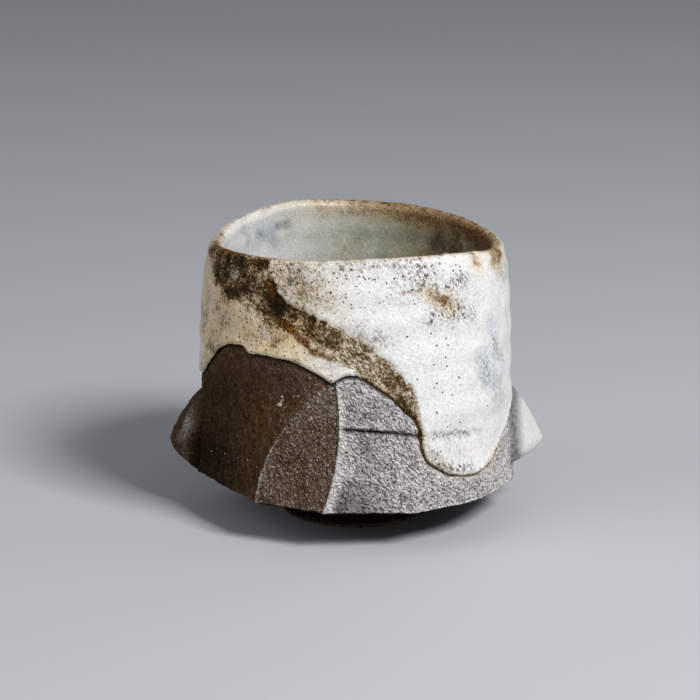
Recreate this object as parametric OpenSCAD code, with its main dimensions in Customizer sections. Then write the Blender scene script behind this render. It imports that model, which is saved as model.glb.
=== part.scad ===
// Guinomi: a small stoneware sake cup with a knife-cut hip, two lugs and a poured white glaze.
// Millimetres, +Z up. The origin is the centre of the foot ring, on the table.
// The camera side of the cup is -Y and the lugs point along +X and -X.

/* [Cup] */
// Height from the table to the highest point of the lip, over the glaze
cup_h = 59.7; // [52:0.1:66]
// Width at the lip, over the glaze
rim_d = 60; // [56:0.5:64]
// Width at the belly, over the glaze
belly_d = 64; // [60:0.5:68]
// Height of the belly
belly_h = 31; // [26:0.5:36]
// Width of the bare clay at the hip, across the ridges
hip_d = 65.4; // [62:0.2:70]
// Mean height of the hip's sharp lower edge
hip_h = 8.1; // [7:0.1:10]
// How far the hip's lower edge rises and falls as it goes round
hip_tilt = 1; // [0:0.1:1.5]
// How far the underside swells below a straight line from the hip to the foot
under_bulge = 0.6; // [0:0.1:1]
// How far the lip dips at the sides
lip_dip = 3.2; // [0:0.1:4]
// How far the lip is squeezed out of round
squeeze = 1.1; // [0:0.1:2]

/* [Clay] */
// Thickness of the clay at the lip
lip_t = 2.4; // [1.8:0.1:3.4]
// Thickness of the clay wall below the lip
wall_t = 4; // [3:0.1:5]
// Thickness of the clay floor above the foot ring's recess
floor_t = 6; // [4:0.1:8]
// Height of the curve that joins the floor to the wall inside
bowl_h = 17; // [12:0.5:20]
// Height over which a cut facet reaches its full depth
cut_h = 9; // [5:0.5:14]
// Deepest cut that a facet makes into the round wall
cut_max = 2.4; // [1:0.1:2.8]

/* [Foot ring] */
// Outer width of the foot ring
foot_d = 30.4; // [24:0.2:36]
// Height of the foot ring
foot_h = 4; // [2.5:0.1:5]
// Width of the foot ring's wall
foot_w = 3.6; // [2.4:0.1:5]
// Rounding of the foot ring's two lower edges
foot_round = 0.6; // [0.2:0.1:1]

/* [Lugs] */
// How far a lug's point stands out of the clay
lug_reach = 6; // [3:0.1:8]
// Thickness of a lug's luted edge
lug_edge = 0.3; // [0.2:0.05:0.6]

/* [Glaze] */
// Thickness of the white glaze outside
glaze_t = 0.6; // [0.3:0.05:1]
// Thickness of the glaze inside
liner_t = 0.5; // [0.3:0.05:0.8]
// Thickness of the glaze where it thins over the lip
lip_glaze_t = 0.35; // [0.2:0.05:0.5]
// Depth below the lip at which the glaze has its full thickness
lip_glaze_h = 4; // [2:0.5:6]
// Height of the glaze's lower edge where it is highest
glaze_h = 40; // [36:0.5:44]
// How far the longest run of glaze hangs below that
glaze_drop = 26.4; // [22:0.2:28]

/* [Hidden] */

CLAY = [0.36, 0.31, 0.28];
FOOT_CLAY = [0.30, 0.26, 0.23];
WHITE_GLAZE = [0.88, 0.86, 0.81];
INNER_GLAZE = [0.66, 0.68, 0.62];

// Closed curves round the cup, as [angle, share] in degrees and shares of a size named above.
lip_dips = [
    [-180, 1], [-150, 0.63], [-110, 0.42], [-75, 0.22], [-45, 0.34], [-10, 0.91],
    [20, 0.9], [50, 0.46], [90, 0.2], [120, 0], [150, 0.48]
];
lip_plan = [
    [-180, -0.5], [-135, 0.5], [-90, -0.3], [-45, 0.5], [0, 0], [40, -0.8], [90, 0.3], [135, -0.4]
];
glaze_falls = [
    [-170, 0.36], [-158, 0.2], [-146, 0.04], [-134, 0], [-128, 0.04], [-113, 0.06], [-105, 0.12],
    [-98, 0.19], [-92, 0.145], [-84, 0.21], [-73, 0.41], [-67.5, 0.52], [-65, 0.74], [-60, 0.89],
    [-50, 0.985], [-42, 1],
    [-33, 0.95], [-26, 0.85], [-19, 0.74], [-8, 0.53], [14, 0.53], [30, 0.38], [48, 0.27], [62, 0.38],
    [74, 0.66], [84, 0.85], [94, 0.76], [104, 0.42], [122, 0.2], [140, 0.26], [158, 0.4], [176, 0.42]
];

// Ridges left by the knife, in the order they go round. A row holds the angle at the ridge's upper end,
// the height of that end as a share of the way from the hip to the highest glaze edge, the angle at the
// hip's lower edge and the sideways bend between, in degrees. Then, for the facet up to the next ridge, it
// holds the columns of surface points, 0 to leave the wall round or up to 1 to cut it flat, and the rise of
// the facet's top edge between its ridges, as the same kind of share.
ridges = [
    [-172, 0.69, -170, 0, 12, 1, 0.22],
    [-99, 0.84, -127.5, -7, 5, 1, 0],
    [-97, 0.85, -101.5, 3.3, 7, 0.9, 0.03],
    [-62, 0.69, -68, 0, 8, 0.55, 0.03],
    [-8, 0.56, -9, 0, 6, 0, 0],
    [14, 0.56, 15, 0, 7, 0.9, 0.12],
    [58, 0.69, 62, 0, 8, 0.9, 0.12],
    [110, 0.75, 106, 0, 9, 0.9, 0.12],
    [166, 0.62, 167, 0, 6, 0, 0]
];

// Fields of a ridge's row
function top_angle(ridge) = ridge[0];
function rise(ridge) = ridge[1];
function base_angle(ridge) = ridge[2];
function bow(ridge) = ridge[3];
function column_share(ridge) = ridge[4];
function flatness(ridge) = ridge[5];
function arch_rise(ridge) = ridge[6];

// Lugs, each on the uncut strip of clay between two ridges. A row holds the ridge at the strip's start, the
// rows of bare clay at the lug's upper end, lower end and point, the column of its point counted from the
// strip's start, and the roundness of its sides and of its lower side, from 0 for flat to 1 for full round.
left_lug_form = [8, 2, 9, 6, 3, 0.5, 0.85];
right_lug_form = [4, 0, 7, 5, 3, 0.4, 1];

// Fields of a lug's row
function strip(form) = form[0];
function upper_row(form) = form[1];
function lower_row(form) = form[2];
function point_row(form) = form[3];
function point_column(form) = form[4];
function side_round(form) = form[5];
function lower_round(form) = form[6];

// Rows of surface points, as shares of each stretch of the wall
bare_rows = [0, 0.1, 0.2, 0.33, 0.47, 0.61, 0.72, 0.81, 0.9, 1];
under_rows = [0.5, 1];
glazed_rows = [0, 0.06, 0.15, 0.28, 0.42, 0.56, 0.7, 0.83, 0.93, 1];
lip_rows = [30, 60, 90, 120, 150, 180];
inner_rows = [0.15, 0.35, 0.6, 0.8, 1];
bowl_rows = [12, 25, 38, 50, 62, 73, 83];
LIP_CREST = search(90, lip_rows)[0];  // the lip row where the two glazes meet

HIP_TILT_AT = -155;  // angle at which the hip's lower edge is highest
CUT_POWER = 3;       // sharpness with which a deep cut is held back
HIP_POWER = 1.5;     // how late the wall swells on its way down to the hip
BOWL_POWER = 3;      // squareness of the curve between floor and wall
EDGE_STEPS = 24;     // halvings that find where a column meets the glaze's edge

foot_r = foot_d / 2;
hip_r = hip_d / 2;
belly_r = belly_d / 2 - glaze_t;
rim_r = rim_d / 2 - glaze_t;
floor_h = foot_h + floor_t;
cut_span = glaze_h - hip_h;
ridge_count = len(ridges);

function mix(a, b, t) = a + (b - a) * t;
function ease(t) = let (c = max(0, min(1, t))) c * c * (3 - 2 * c);
function polar(r, angle, z) = [r * cos(angle), r * sin(angle), z];

// Point i of a closed list of [angle, value], with whole turns added past either end
function lap(points, i) =
    let (n = len(points), turns = floor(i / n))
    [points[i - n * turns][0] + 360 * turns, points[i - n * turns][1]];

// Value at an angle of the smooth closed curve through [angle, value] points
function around(points, angle) =
    let (
        a = angle - 360 * floor((angle - points[0][0]) / 360),
        i = max([for (k = [0 : len(points) - 1]) if (points[k][0] <= a) k]),
        p0 = lap(points, i - 1), p1 = lap(points, i), p2 = lap(points, i + 1), p3 = lap(points, i + 2),
        gap = p2[0] - p1[0],
        t = (a - p1[0]) / gap,
        slope1 = gap * (p2[1] - p0[1]) / (p2[0] - p0[0]),
        slope2 = gap * (p3[1] - p1[1]) / (p3[0] - p1[0])
    )
    (2 * t^3 - 3 * t^2 + 1) * p1[1] + (t^3 - 2 * t^2 + t) * slope1
        + (3 * t^2 - 2 * t^3) * p2[1] + (t^3 - t^2) * slope2;

// Lines that go round the cup
function lip_height(angle) = cup_h - lip_dip * around(lip_dips, angle);
function glaze_edge(angle) = glaze_h - glaze_drop * around(glaze_falls, angle);
function hip_edge(angle) = hip_h + hip_tilt * cos(angle - HIP_TILT_AT);

// Radius of the clay before the facets are cut
function round_r(angle, z) =
    let (
        up = max(0, (z - belly_h) / (cup_h - belly_h)),
        down = max(0, (belly_h - z) / (belly_h - hip_h)),
        plan = squeeze * up * around(lip_plan, angle)
    )
    belly_r - (belly_r - rim_r) * up^2 + (hip_r - belly_r) * down^HIP_POWER + plan;

// One ridge's angle at a height, counting on past a full turn
function ridge_angle(k, z) =
    let (
        turns = floor(k / ridge_count),
        r = ridges[k - ridge_count * turns],
        s = max(0, min(1, 1 - (z - hip_h) / (rise(r) * cut_span)))
    )
    mix(top_angle(r), base_angle(r), s) + 4 * s * (1 - s) * bow(r) + 360 * turns;
function ridge_top(k) = hip_h + cut_span * rise(ridges[k % ridge_count]);

// Radius of the clay on the facet after ridge k, a share f of the way to the next ridge
function cut_r(k, f, z) =
    let (
        from = ridge_angle(k, z), to = ridge_angle(k + 1, z), angle = mix(from, to, f),
        whole = round_r(angle, z), r0 = round_r(from, z), r1 = round_r(to, z),
        chord = r0 * r1 * sin(to - from) / (r0 * sin(angle - from) + r1 * sin(to - angle)),
        arch = mix(ridge_top(k), ridge_top(k + 1), f) + 4 * f * (1 - f) * arch_rise(ridges[k]) * cut_span
    )
    whole - flatness(ridges[k]) * ease((arch - z) / cut_h) * limited(whole - chord, cut_max);

// A depth held softly below the deepest allowed
function limited(depth, most) = depth * most / (max(0, depth)^CUT_POWER + most^CUT_POWER)^(1 / CUT_POWER);

// Columns of surface points follow the ridges up the hip, then spread evenly towards the lip.
columns = [
    for (k = [0 : ridge_count - 1])
        for (i = [0 : column_share(ridges[k]) - 1]) [k, i / column_share(ridges[k])]
];
column_count = len(columns);
function column_angle(c, z) =
    let (
        k = columns[c][0], f = columns[c][1],
        along = mix(ridge_angle(k, z), ridge_angle(k + 1, z), f),
        even = top_angle(ridges[0]) + 360 * c / column_count
    )
    mix(along, even, ease((z - glaze_h) / (cup_h - glaze_h)));
function column_r(c, z) =
    z > glaze_h ? round_r(column_angle(c, z), z) : cut_r(columns[c][0], columns[c][1], z);

// Height at which a column meets the glaze's lower edge, by halving
function meets_glaze(c, low, high, steps) =
    let (middle = (low + high) / 2)
    steps <= 0 ? middle
        : middle > glaze_edge(column_angle(c, middle)) ? meets_glaze(c, low, middle, steps - 1)
        : meets_glaze(c, middle, high, steps - 1);
glaze_edges = [for (c = [0 : column_count - 1]) meets_glaze(c, hip_h, glaze_h + glaze_t, EDGE_STEPS)];
hip_edges = [for (c = [0 : column_count - 1]) hip_edge(column_angle(c, hip_h))];

// Point on the clay's outside on column c at height z, moved outwards by the given amount
function outside(c, z, out = 0) = polar(column_r(c, z) + out, column_angle(c, z), z);
function bare_point(c, v, out = 0) = outside(c, mix(glaze_edges[c], hip_edges[c], v), out);

// The lip is a half round over the wall, centred on this angle, radius and height.
function lip_angle(c) = column_angle(c, cup_h);
function lip_centre_h(c) = lip_height(lip_angle(c)) - lip_glaze_t - lip_t / 2;
function lip_point(c, turn, out = 0) =
    let (z = lip_centre_h(c), angle = column_angle(c, z), reach = lip_t / 2 + out)
    polar(column_r(c, z) - lip_t / 2 + reach * cos(turn), angle, z + reach * sin(turn));

// Glaze outside: its thickness grows from the lip down to its full value.
function outer_coat(c, z) = mix(lip_glaze_t, glaze_t, ease((lip_centre_h(c) - z) / lip_glaze_h));
function glazed_point(c, v, coat) =
    let (z = mix(glaze_edges[c], lip_centre_h(c), v)) outside(c, z, coat ? outer_coat(c, z) : 0);

// Inside of the cup, on column c: a wall from the lip down, then a bowl down to the floor.
bowl_top = floor_h + bowl_h;
function inner_r(c, z) =
    let (depth = (lip_centre_h(c) - z) / (lip_centre_h(c) - bowl_top))
    round_r(column_angle(c, cup_h), z) - mix(lip_t, wall_t, ease(depth));
function liner_coat(c, z) = mix(lip_glaze_t, liner_t, ease((lip_centre_h(c) - z) / lip_glaze_h));
function inner_point(c, v, coat) =
    let (z = mix(lip_centre_h(c), bowl_top, v))
    polar(inner_r(c, z) - (coat ? liner_coat(c, z) : 0), column_angle(c, cup_h), z);
function bowl_point(c, turn, coat) =
    let (t = coat ? liner_t : 0, p = 2 / BOWL_POWER)
    polar((inner_r(c, bowl_top) - t) * cos(turn)^p, column_angle(c, cup_h),
        bowl_top - (bowl_h - t) * sin(turn)^p);

// Rings of points, one point per column
every = [0 : column_count - 1];
function under_point(c, u) =
    let (
        z = hip_edges[c],
        r = mix(column_r(c, z), foot_r, u),
        sag = 4 * u * (1 - u) * under_bulge
    )
    polar(r, column_angle(c, z), mix(z, foot_h, u) - sag);
function under_rings() = [for (u = under_rows) [for (c = every) under_point(c, u)]];
function bare_rings() = [for (v = bare_rows) [for (c = every) bare_point(c, v)]];
function glazed_rings(coat) = [for (v = glazed_rows) [for (c = every) glazed_point(c, v, coat)]];
function lip_rings(first, last, out) =
    [for (i = [first : last]) [for (c = every) lip_point(c, lip_rows[i], out)]];
function inner_rings(coat) = concat(
    [for (v = inner_rows) [for (c = every) inner_point(c, v, coat)]],
    [for (turn = bowl_rows) [for (c = every) bowl_point(c, turn, coat)]]
);
function reversed(list) = [for (i = [len(list) - 1 : -1 : 0]) list[i]];
function after_first(list) = [for (i = [1 : len(list) - 1]) list[i]];

// Two triangles over the corners a, b, c, d of a cell, split along its shorter diagonal
function cell(points, a, b, c, d) =
    norm(points[a] - points[c]) <= norm(points[b] - points[d])
        ? [[a, b, c], [a, c, d]]
        : [[a, b, d], [b, c, d]];

// Triangles between the ring that starts at point a and the ring that starts at point b
function band(points, a, b) = [
    for (c = every) let (next = (c + 1) % column_count)
        each cell(points, a + c, b + c, b + next, a + next)
];

// Solid skinned over rings that begin and end at a point on the axis
module capped(first, rings, last) {
    points = concat([first], [for (row = rings) each row], [last]);
    end = len(points) - 1;
    top = end - column_count;
    polyhedron(points, concat(
        [for (c = every) [0, 1 + c, 1 + (c + 1) % column_count]],
        [for (i = [0 : len(rings) - 2]) each band(points, 1 + i * column_count, 1 + (i + 1) * column_count)],
        [for (c = every) [end, top + (c + 1) % column_count, top + c]]
    ));
}

// Solid skinned over rings, with the last ring joined back to the first
module looped(rings) {
    points = [for (row = rings) each row];
    count = len(rings);
    polyhedron(points, [
        for (i = [0 : count - 1]) each band(points, i * column_count, (i + 1) % count * column_count)
    ]);
}

// Solid between two grids of points of the same size, closed round the border
module slab(inner, outer) {
    rows = len(inner);
    cols = len(inner[0]);
    points = concat([for (row = inner) each row], [for (row = outer) each row]);
    o = rows * cols;
    border = concat(
        [for (j = [0 : cols - 2]) j],
        [for (i = [0 : rows - 2]) i * cols + cols - 1],
        [for (j = [cols - 1 : -1 : 1]) (rows - 1) * cols + j],
        [for (i = [rows - 1 : -1 : 1]) i * cols]
    );
    polyhedron(points, [
        for (i = [0 : rows - 2]) for (j = [0 : cols - 2]) let (p = i * cols + j) each concat(
            cell(points, o + p, o + p + 1, o + p + cols + 1, o + p + cols),
            cell(points, p, p + cols, p + cols + 1, p + 1)
        ),
        for (i = [0 : len(border) - 1]) let (a = border[i], b = border[(i + 1) % len(border)])
            each cell(points, o + b, o + a, a, b)
    ]);
}

// Lug surfaces on their grid of clay points: level 0 is the clay, 1 the lug, 2 the glaze over the lug.
function strip_start(k) = k == 0 ? 0 : strip_start(k - 1) + column_share(ridges[k - 1]);
function peak(x, from, at, to) = x < at ? (x - from) / (at - from) : (to - x) / (to - at);
function swell(t, roundness) = mix(t, sqrt(max(0, 1 - (1 - t)^2)), roundness);
function lug_height(form, i, j) =
    let (
        across = peak(j, 0, point_column(form), column_share(ridges[strip(form)])),
        upper = bare_rows[upper_row(form)],
        point = bare_rows[point_row(form)],
        lower = bare_rows[lower_row(form)],
        down = peak(bare_rows[i], upper, point, lower),
        down_round = bare_rows[i] > point ? lower_round(form) : side_round(form)
    )
    lug_edge + lug_reach * swell(across, side_round(form)) * swell(down, down_round);
function lug_grid(form, level) = [
    for (i = [upper_row(form) : lower_row(form)]) [
        for (j = [0 : column_share(ridges[strip(form)])]) let (
            out = level == 0 ? 0 : lug_height(form, i, j) + (level - 1) * glaze_t
        ) bare_point((strip_start(strip(form)) + j) % column_count, bare_rows[i], out)
    ]
];

module clay_body() {
    color(CLAY) capped(
        [0, 0, foot_h],
        concat(
            reversed(under_rings()),
            reversed(bare_rings()),
            after_first(glazed_rings(false)),
            lip_rings(0, len(lip_rows) - 1, 0),
            inner_rings(false)
        ),
        [0, 0, floor_h]
    );
}

module foot_ring() {
    inner = foot_r - foot_w;
    color(FOOT_CLAY) rotate_extrude($fn = 96) {
        translate([inner + foot_round, 0]) square([foot_w - 2 * foot_round, foot_h]);
        translate([inner, foot_round]) square([foot_w, foot_h - foot_round]);
        translate([inner + foot_round, foot_round]) circle(foot_round, $fn = 32);
        translate([foot_r - foot_round, foot_round]) circle(foot_round, $fn = 32);
    }
}

module left_lug() {
    color(CLAY) slab(lug_grid(left_lug_form, 0), lug_grid(left_lug_form, 1));
}

module right_lug() {
    color(CLAY) slab(lug_grid(right_lug_form, 0), lug_grid(right_lug_form, 1));
}

module right_lug_glaze() {
    color(WHITE_GLAZE) slab(lug_grid(right_lug_form, 1), lug_grid(right_lug_form, 2));
}

module outer_glaze() {
    color(WHITE_GLAZE) looped(concat(
        glazed_rings(true),
        lip_rings(0, LIP_CREST, lip_glaze_t),
        reversed(lip_rings(0, LIP_CREST, 0)),
        reversed(glazed_rings(false))
    ));
}

module inner_glaze() {
    last = len(lip_rows) - 1;
    color(INNER_GLAZE) capped(
        [0, 0, floor_h],
        concat(
            reversed(inner_rings(false)),
            reversed(lip_rings(LIP_CREST, last, 0)),
            lip_rings(LIP_CREST, last, lip_glaze_t),
            inner_rings(true)
        ),
        [0, 0, floor_h + liner_t]
    );
}

clay_body();
foot_ring();
left_lug();
right_lug();
right_lug_glaze();
outer_glaze();
inner_glaze();
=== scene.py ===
"""Looks of a guinomi, a small stoneware sake cup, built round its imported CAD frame.

Inside the classes lengths are millimetres and angles are degrees round the cup, with -90 towards the camera.
Meshes are written in metres, in the frame of the CAD part.
"""

import logging
import math
from dataclasses import dataclass
from enum import Enum
from functools import partial
from typing import Any, Callable, Optional, Sequence

import bpy
import numpy as np
from bpy.types import Material, Mesh, Node, NodeSocket, NodeTree, Object
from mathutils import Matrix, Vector
from mathutils.kdtree import KDTree

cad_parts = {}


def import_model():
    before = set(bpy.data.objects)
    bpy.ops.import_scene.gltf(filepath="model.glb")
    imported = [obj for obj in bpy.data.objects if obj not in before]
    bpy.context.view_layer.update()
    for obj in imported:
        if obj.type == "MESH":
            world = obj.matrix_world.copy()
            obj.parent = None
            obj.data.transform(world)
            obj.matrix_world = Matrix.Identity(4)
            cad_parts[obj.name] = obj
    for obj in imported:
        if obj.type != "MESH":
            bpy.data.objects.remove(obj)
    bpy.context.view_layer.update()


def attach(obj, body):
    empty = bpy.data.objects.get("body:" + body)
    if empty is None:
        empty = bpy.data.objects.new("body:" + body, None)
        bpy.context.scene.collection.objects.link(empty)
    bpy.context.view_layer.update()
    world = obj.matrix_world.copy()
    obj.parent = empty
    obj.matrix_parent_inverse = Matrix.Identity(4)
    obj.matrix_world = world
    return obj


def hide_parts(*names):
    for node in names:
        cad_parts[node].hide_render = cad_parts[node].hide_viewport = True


LOG = logging.getLogger("guinomi")
MM = 0.001
ROOT = "root"
Array = np.ndarray
Rings = list[Array]
Adder = Callable[..., Node]


def mix(a: Any, b: Any, t: Any) -> Any:
    """Value a share t of the way from a to b."""
    return a + (b - a) * t


def unit(t: Any) -> Any:
    """Value held between 0 and 1."""
    return np.clip(t, 0.0, 1.0)


def ease(t: Any) -> Any:
    """Smooth step from 0 to 1, flat outside that range."""
    c = unit(t)
    return c * c * (3.0 - 2.0 * c)


def bell(t: Any, width: Any) -> Any:
    """Soft hump that is 1 at zero and about a third at the width."""
    return np.exp(-(t / width) ** 2)


def wrapped(angle: Array) -> Array:
    """Angles brought into the turn from -180 to 180."""
    return (np.asarray(angle) + 180.0) % 360.0 - 180.0


def angle_of(points: Array) -> Array:
    """Angle in degrees at which each point lies round the axis."""
    return np.degrees(np.arctan2(points[..., 1], points[..., 0]))


def polar(r: Array, angle: Array, z: Array) -> Array:
    """Points at a radius, an angle in degrees and a height."""
    a = np.radians(angle)
    return np.stack([r * np.cos(a), r * np.sin(a), np.broadcast_to(z, np.shape(r * a))], axis=-1)


def linear(code: str) -> tuple[float, float, float, float]:
    """Linear colour for an sRGB hex code.

    Args:
        code: six hex digits, with or without a leading hash.

    Returns:
        Red, green, blue and an alpha of one.
    """
    digits = code.lstrip("#")
    srgb = [int(digits[i:i + 2], 16) / 255.0 for i in (0, 2, 4)]
    low = [c / 12.92 if c <= 0.04045 else ((c + 0.055) / 1.055) ** 2.4 for c in srgb]
    return (low[0], low[1], low[2], 1.0)


class Grain:
    """Smooth random field in space, the same on each run for one seed."""

    CELLS = 4096
    REACH = 1.6
    SHIFT = 31.7

    def __init__(self, seed: int) -> None:
        """Draws the field's directions.

        Args:
            seed: of the random draws.
        """
        rng = np.random.default_rng(seed)
        ways = rng.normal(size=(self.CELLS, 3))
        self.ways = ways / np.linalg.norm(ways, axis=1, keepdims=True)
        self.order = rng.permutation(self.CELLS)

    def at(self, points: Array, size: float) -> Array:
        """Field from about -1 to 1.

        Args:
            points: places in millimetres, with three values in the last axis.
            size: width of one lump in millimetres.

        Returns:
            One value for each place.
        """
        p = points / size
        cell = np.floor(p).astype(np.int64)
        part = p - cell
        blend = part ** 3 * (part * (part * 6.0 - 15.0) + 10.0)
        total = np.zeros(p.shape[:-1])
        for corner in np.ndindex(2, 2, 2):
            c = cell + corner
            key = self.order[c[..., 0] % self.CELLS]
            key = self.order[(key + c[..., 1]) % self.CELLS]
            key = self.order[(key + c[..., 2]) % self.CELLS]
            weight = np.prod(np.where(np.array(corner) == 1, blend, 1.0 - blend), axis=-1)
            total += weight * np.sum(self.ways[key] * (part - corner), axis=-1)
        return total * self.REACH

    def octaves(self, points: Array, size: float, count: int, fall: float = 0.5) -> Array:
        """Sum of fields, each half the size of the one before and weaker by a factor."""
        parts = [self.at(points + self.SHIFT * i, size / 2 ** i) * fall ** i for i in range(count)]
        return np.sum(parts, axis=0)


class ClosedCurve:
    """Smooth closed curve through [angle, value] pairs that go once round the cup."""

    def __init__(self, pairs: Sequence[tuple[float, float]]) -> None:
        """Repeats a few pairs past both ends, so that the curve closes smoothly.

        Args:
            pairs: angles, rising within one turn, and values.
        """
        p = np.array(pairs, dtype=float)
        turn = np.array([360.0, 0.0])
        self.start = p[0, 0]
        self.p = np.concatenate([p[-2:] - turn, p, p[:3] + turn])

    def at(self, angle: Array) -> Array:
        """Value at each angle.

        Args:
            angle: angles in any turn.

        Returns:
            A value for each angle.
        """
        a = (np.asarray(angle) - self.start) % 360.0 + self.start
        x, y = self.p[:, 0], self.p[:, 1]
        i = np.clip(np.searchsorted(x, a, side="right") - 1, 1, len(x) - 3)
        gap = x[i + 1] - x[i]
        t = (a - x[i]) / gap
        slope1 = gap * (y[i + 1] - y[i - 1]) / (x[i + 1] - x[i - 1])
        slope2 = gap * (y[i + 2] - y[i]) / (x[i + 2] - x[i])
        return ((2 * t ** 3 - 3 * t ** 2 + 1) * y[i] + (t ** 3 - 2 * t ** 2 + t) * slope1
                + (3 * t ** 2 - 2 * t ** 3) * y[i + 1] + (t ** 3 - t ** 2) * slope2)


@dataclass(frozen=True)
class Span:
    """Stretch of angles round the cup that fades in and out.

    Attributes:
        start: angle at which it begins.
        rise: degrees in which it fades in.
        end: angle at which it is over.
        fall: degrees in which it fades out.
    """

    start: float
    rise: float
    end: float
    fall: float

    def share(self, turn: Array) -> Array:
        """How far each angle lies in the stretch, from 0 to 1."""
        return ease((turn - self.start) / self.rise) * ease((self.end - turn) / self.fall)


@dataclass(frozen=True)
class Ridge:
    """Ridge left by the knife, and the facet from it to the next ridge.

    Attributes:
        top: angle at its upper end.
        rise: height of that end, as a share of the way from the hip to the highest glaze edge.
        base: angle at the hip's lower edge.
        bow: how far it bends sideways on the way.
        columns: columns of surface points up to the next ridge.
        flat: 0 leaves the wall round, 1 cuts it flat.
        arch: rise of the facet's top edge between its ridges, as a share like rise.
        burr: height of the crumb of clay that the knife pushed up along it.
        chamfer: width of the narrow smooth strip on its right side.
        wear_and_highlight: height up to which that strip is painted pale, partly as wear and partly as a
            painted highlight where it faces the light.
    """

    top: float
    rise: float
    base: float
    bow: float
    columns: int
    flat: float
    arch: float
    burr: float
    chamfer: float
    wear_and_highlight: float


class Facet(Enum):
    """Ridges by their place in the list, named for what starts there."""

    LEFT = 0
    MIDDLE = 1
    RIGHT = 2
    RIGHT_LUG = 4
    LEFT_LUG = 8


@dataclass
class CupForm:
    """Sizes of the cup and the curves that go round it."""

    cup_h: float = 59.7
    rim_d: float = 60.0
    belly_d: float = 64.0
    belly_h: float = 31.0
    hip_d: float = 65.4
    hip_h: float = 8.1
    hip_tilt: float = 1.0
    hip_tilt_at: float = -155.0
    under_bulge: float = 0.6
    lip_dip: float = 3.2
    squeeze: float = 1.1
    lip_t: float = 2.4
    wall_t: float = 4.0
    floor_h: float = 10.0
    bowl_h: float = 17.0
    bowl_power: float = 2.0 / 3.0
    cut_h: float = 9.0
    cut_max: float = 2.4
    foot_d: float = 30.4
    foot_h: float = 4.0
    foot_w: float = 3.6
    foot_round: float = 0.6
    glaze_t: float = 0.6
    liner_t: float = 0.5
    lip_glaze_t: float = 0.35
    lip_glaze_h: float = 4.0
    glaze_h: float = 40.0
    edge_room: float = 2.0
    edge_halvings: int = 30
    waver_r: float = 32.0
    edge_waver: float = 0.28
    edge_waver_mm: float = 3.4
    hip_chip: float = 0.12
    hip_chip_mm: float = 3.0
    lip_waver_r: float = 30.0
    lip_waver: float = 0.10
    lip_waver_mm: float = 7.0
    line_turn: float = 190.0
    line_points: int = 3801
    line_gap: float = 0.08
    ridges: tuple[Ridge, ...] = (
        Ridge(-172, 0.69, -170, 0, 104, 1.0, 0.22, 0.0, 0.5, 0.0),
        Ridge(-99, 0.84, -127.5, -7, 60, 1.0, 0.0, 0.12, 0.5, 24.0),
        Ridge(-97, 0.85, -101.5, 3.3, 84, 0.9, 0.03, 0.34, 1.5, 40.0),
        Ridge(-62, 0.69, -68, 0, 88, 0.55, 0.03, 0.0, 1.0, 0.0),
        Ridge(-8, 0.56, -9, 0, 40, 0.0, 0.0, 0.0, 1.0, 0.0),
        Ridge(14, 0.56, 15, 0, 48, 0.9, 0.12, 0.06, 0.8, 40.0),
        Ridge(58, 0.69, 62, 0, 52, 0.9, 0.12, 0.12, 0.8, 40.0),
        Ridge(110, 0.75, 106, 0, 56, 0.9, 0.12, 0.10, 0.8, 40.0),
        Ridge(166, 0.62, 167, 0, 40, 0.0, 0.0, 0.0, 0.5, 0.0),
    )
    lip_dips: ClosedCurve = ClosedCurve((
        (-180, 1), (-150, 0.63), (-110, 0.42), (-75, 0.22), (-45, 0.34), (-10, 0.91),
        (20, 0.9), (50, 0.46), (90, 0.2), (120, 0), (150, 0.48)))
    lip_plan: ClosedCurve = ClosedCurve((
        (-180, -0.5), (-135, 0.5), (-90, -0.3), (-45, 0.5), (0, 0), (40, -0.8), (90, 0.3), (135, -0.4)))
    glaze_edge: ClosedCurve = ClosedCurve((
        (-170, 30.5), (-160, 34), (-150, 37.8), (-143, 39.6), (-136, 40.2), (-133.3, 39.8), (-131.5, 38.8),
        (-127, 38.9), (-121.5, 39.1), (-113, 38.4), (-105.6, 37), (-101, 35.5), (-98.6, 34.9), (-97, 35.3),
        (-92.8, 36.2), (-88.6, 36.1), (-83, 34), (-77.6, 31.7), (-73, 29.1), (-68.4, 26.5), (-66.6, 24.2),
        (-66.2, 21.2), (-64.2, 18.5), (-59.5, 16.2), (-54.5, 14.6), (-48.7, 13.6), (-42, 13), (-36, 13.1),
        (-30.5, 13.9), (-24, 15.5), (-19, 17.3), (-13, 20.8), (-8, 23.6), (3, 23.4), (14, 24.5), (30, 30),
        (48, 33), (62, 30), (74, 22.6), (84, 17.6), (94, 20), (104, 29), (122, 34.7), (140, 33), (158, 29.5),
        (176, 29)))

    def __post_init__(self) -> None:
        """Lays out the columns and finds where each meets the glaze's edge and the hip's edge."""
        r = self.ridges
        self.table = np.array([(q.top, q.rise, q.base, q.bow, q.flat, q.arch) for q in r], dtype=float)
        self.k = np.concatenate([np.full(q.columns, i) for i, q in enumerate(r)])
        self.f = np.concatenate([np.arange(q.columns) / q.columns for q in r])
        self.count = len(self.k)
        self.cut_span = self.glaze_h - self.hip_h
        self.wobble = Grain(11)
        self.degree = math.radians(self.belly_d / 2)
        low = np.full(self.count, self.hip_h)
        high = np.full(self.count, self.glaze_h + self.edge_room)
        for _ in range(self.edge_halvings):
            middle = (low + high) / 2
            above = middle > self.glaze_line(self.column_angle(middle))
            low, high = np.where(above, low, middle), np.where(above, middle, high)
        self.edge = (low + high) / 2
        hip_angle = self.column_angle(np.full(self.count, self.hip_h))
        tilt = self.hip_tilt * np.cos(np.radians(hip_angle - self.hip_tilt_at))
        self.hip = self.hip_h + tilt + self.hip_chip * self.waver(hip_angle, self.waver_r, self.hip_chip_mm)

    def waver(self, angle: Array, radius: float, size: float) -> Array:
        """Small random rise and fall of a line round the cup, with lumps of a size in millimetres."""
        return self.wobble.octaves(polar(np.full(np.shape(angle), radius), angle, 0.0), size, 3)

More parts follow.
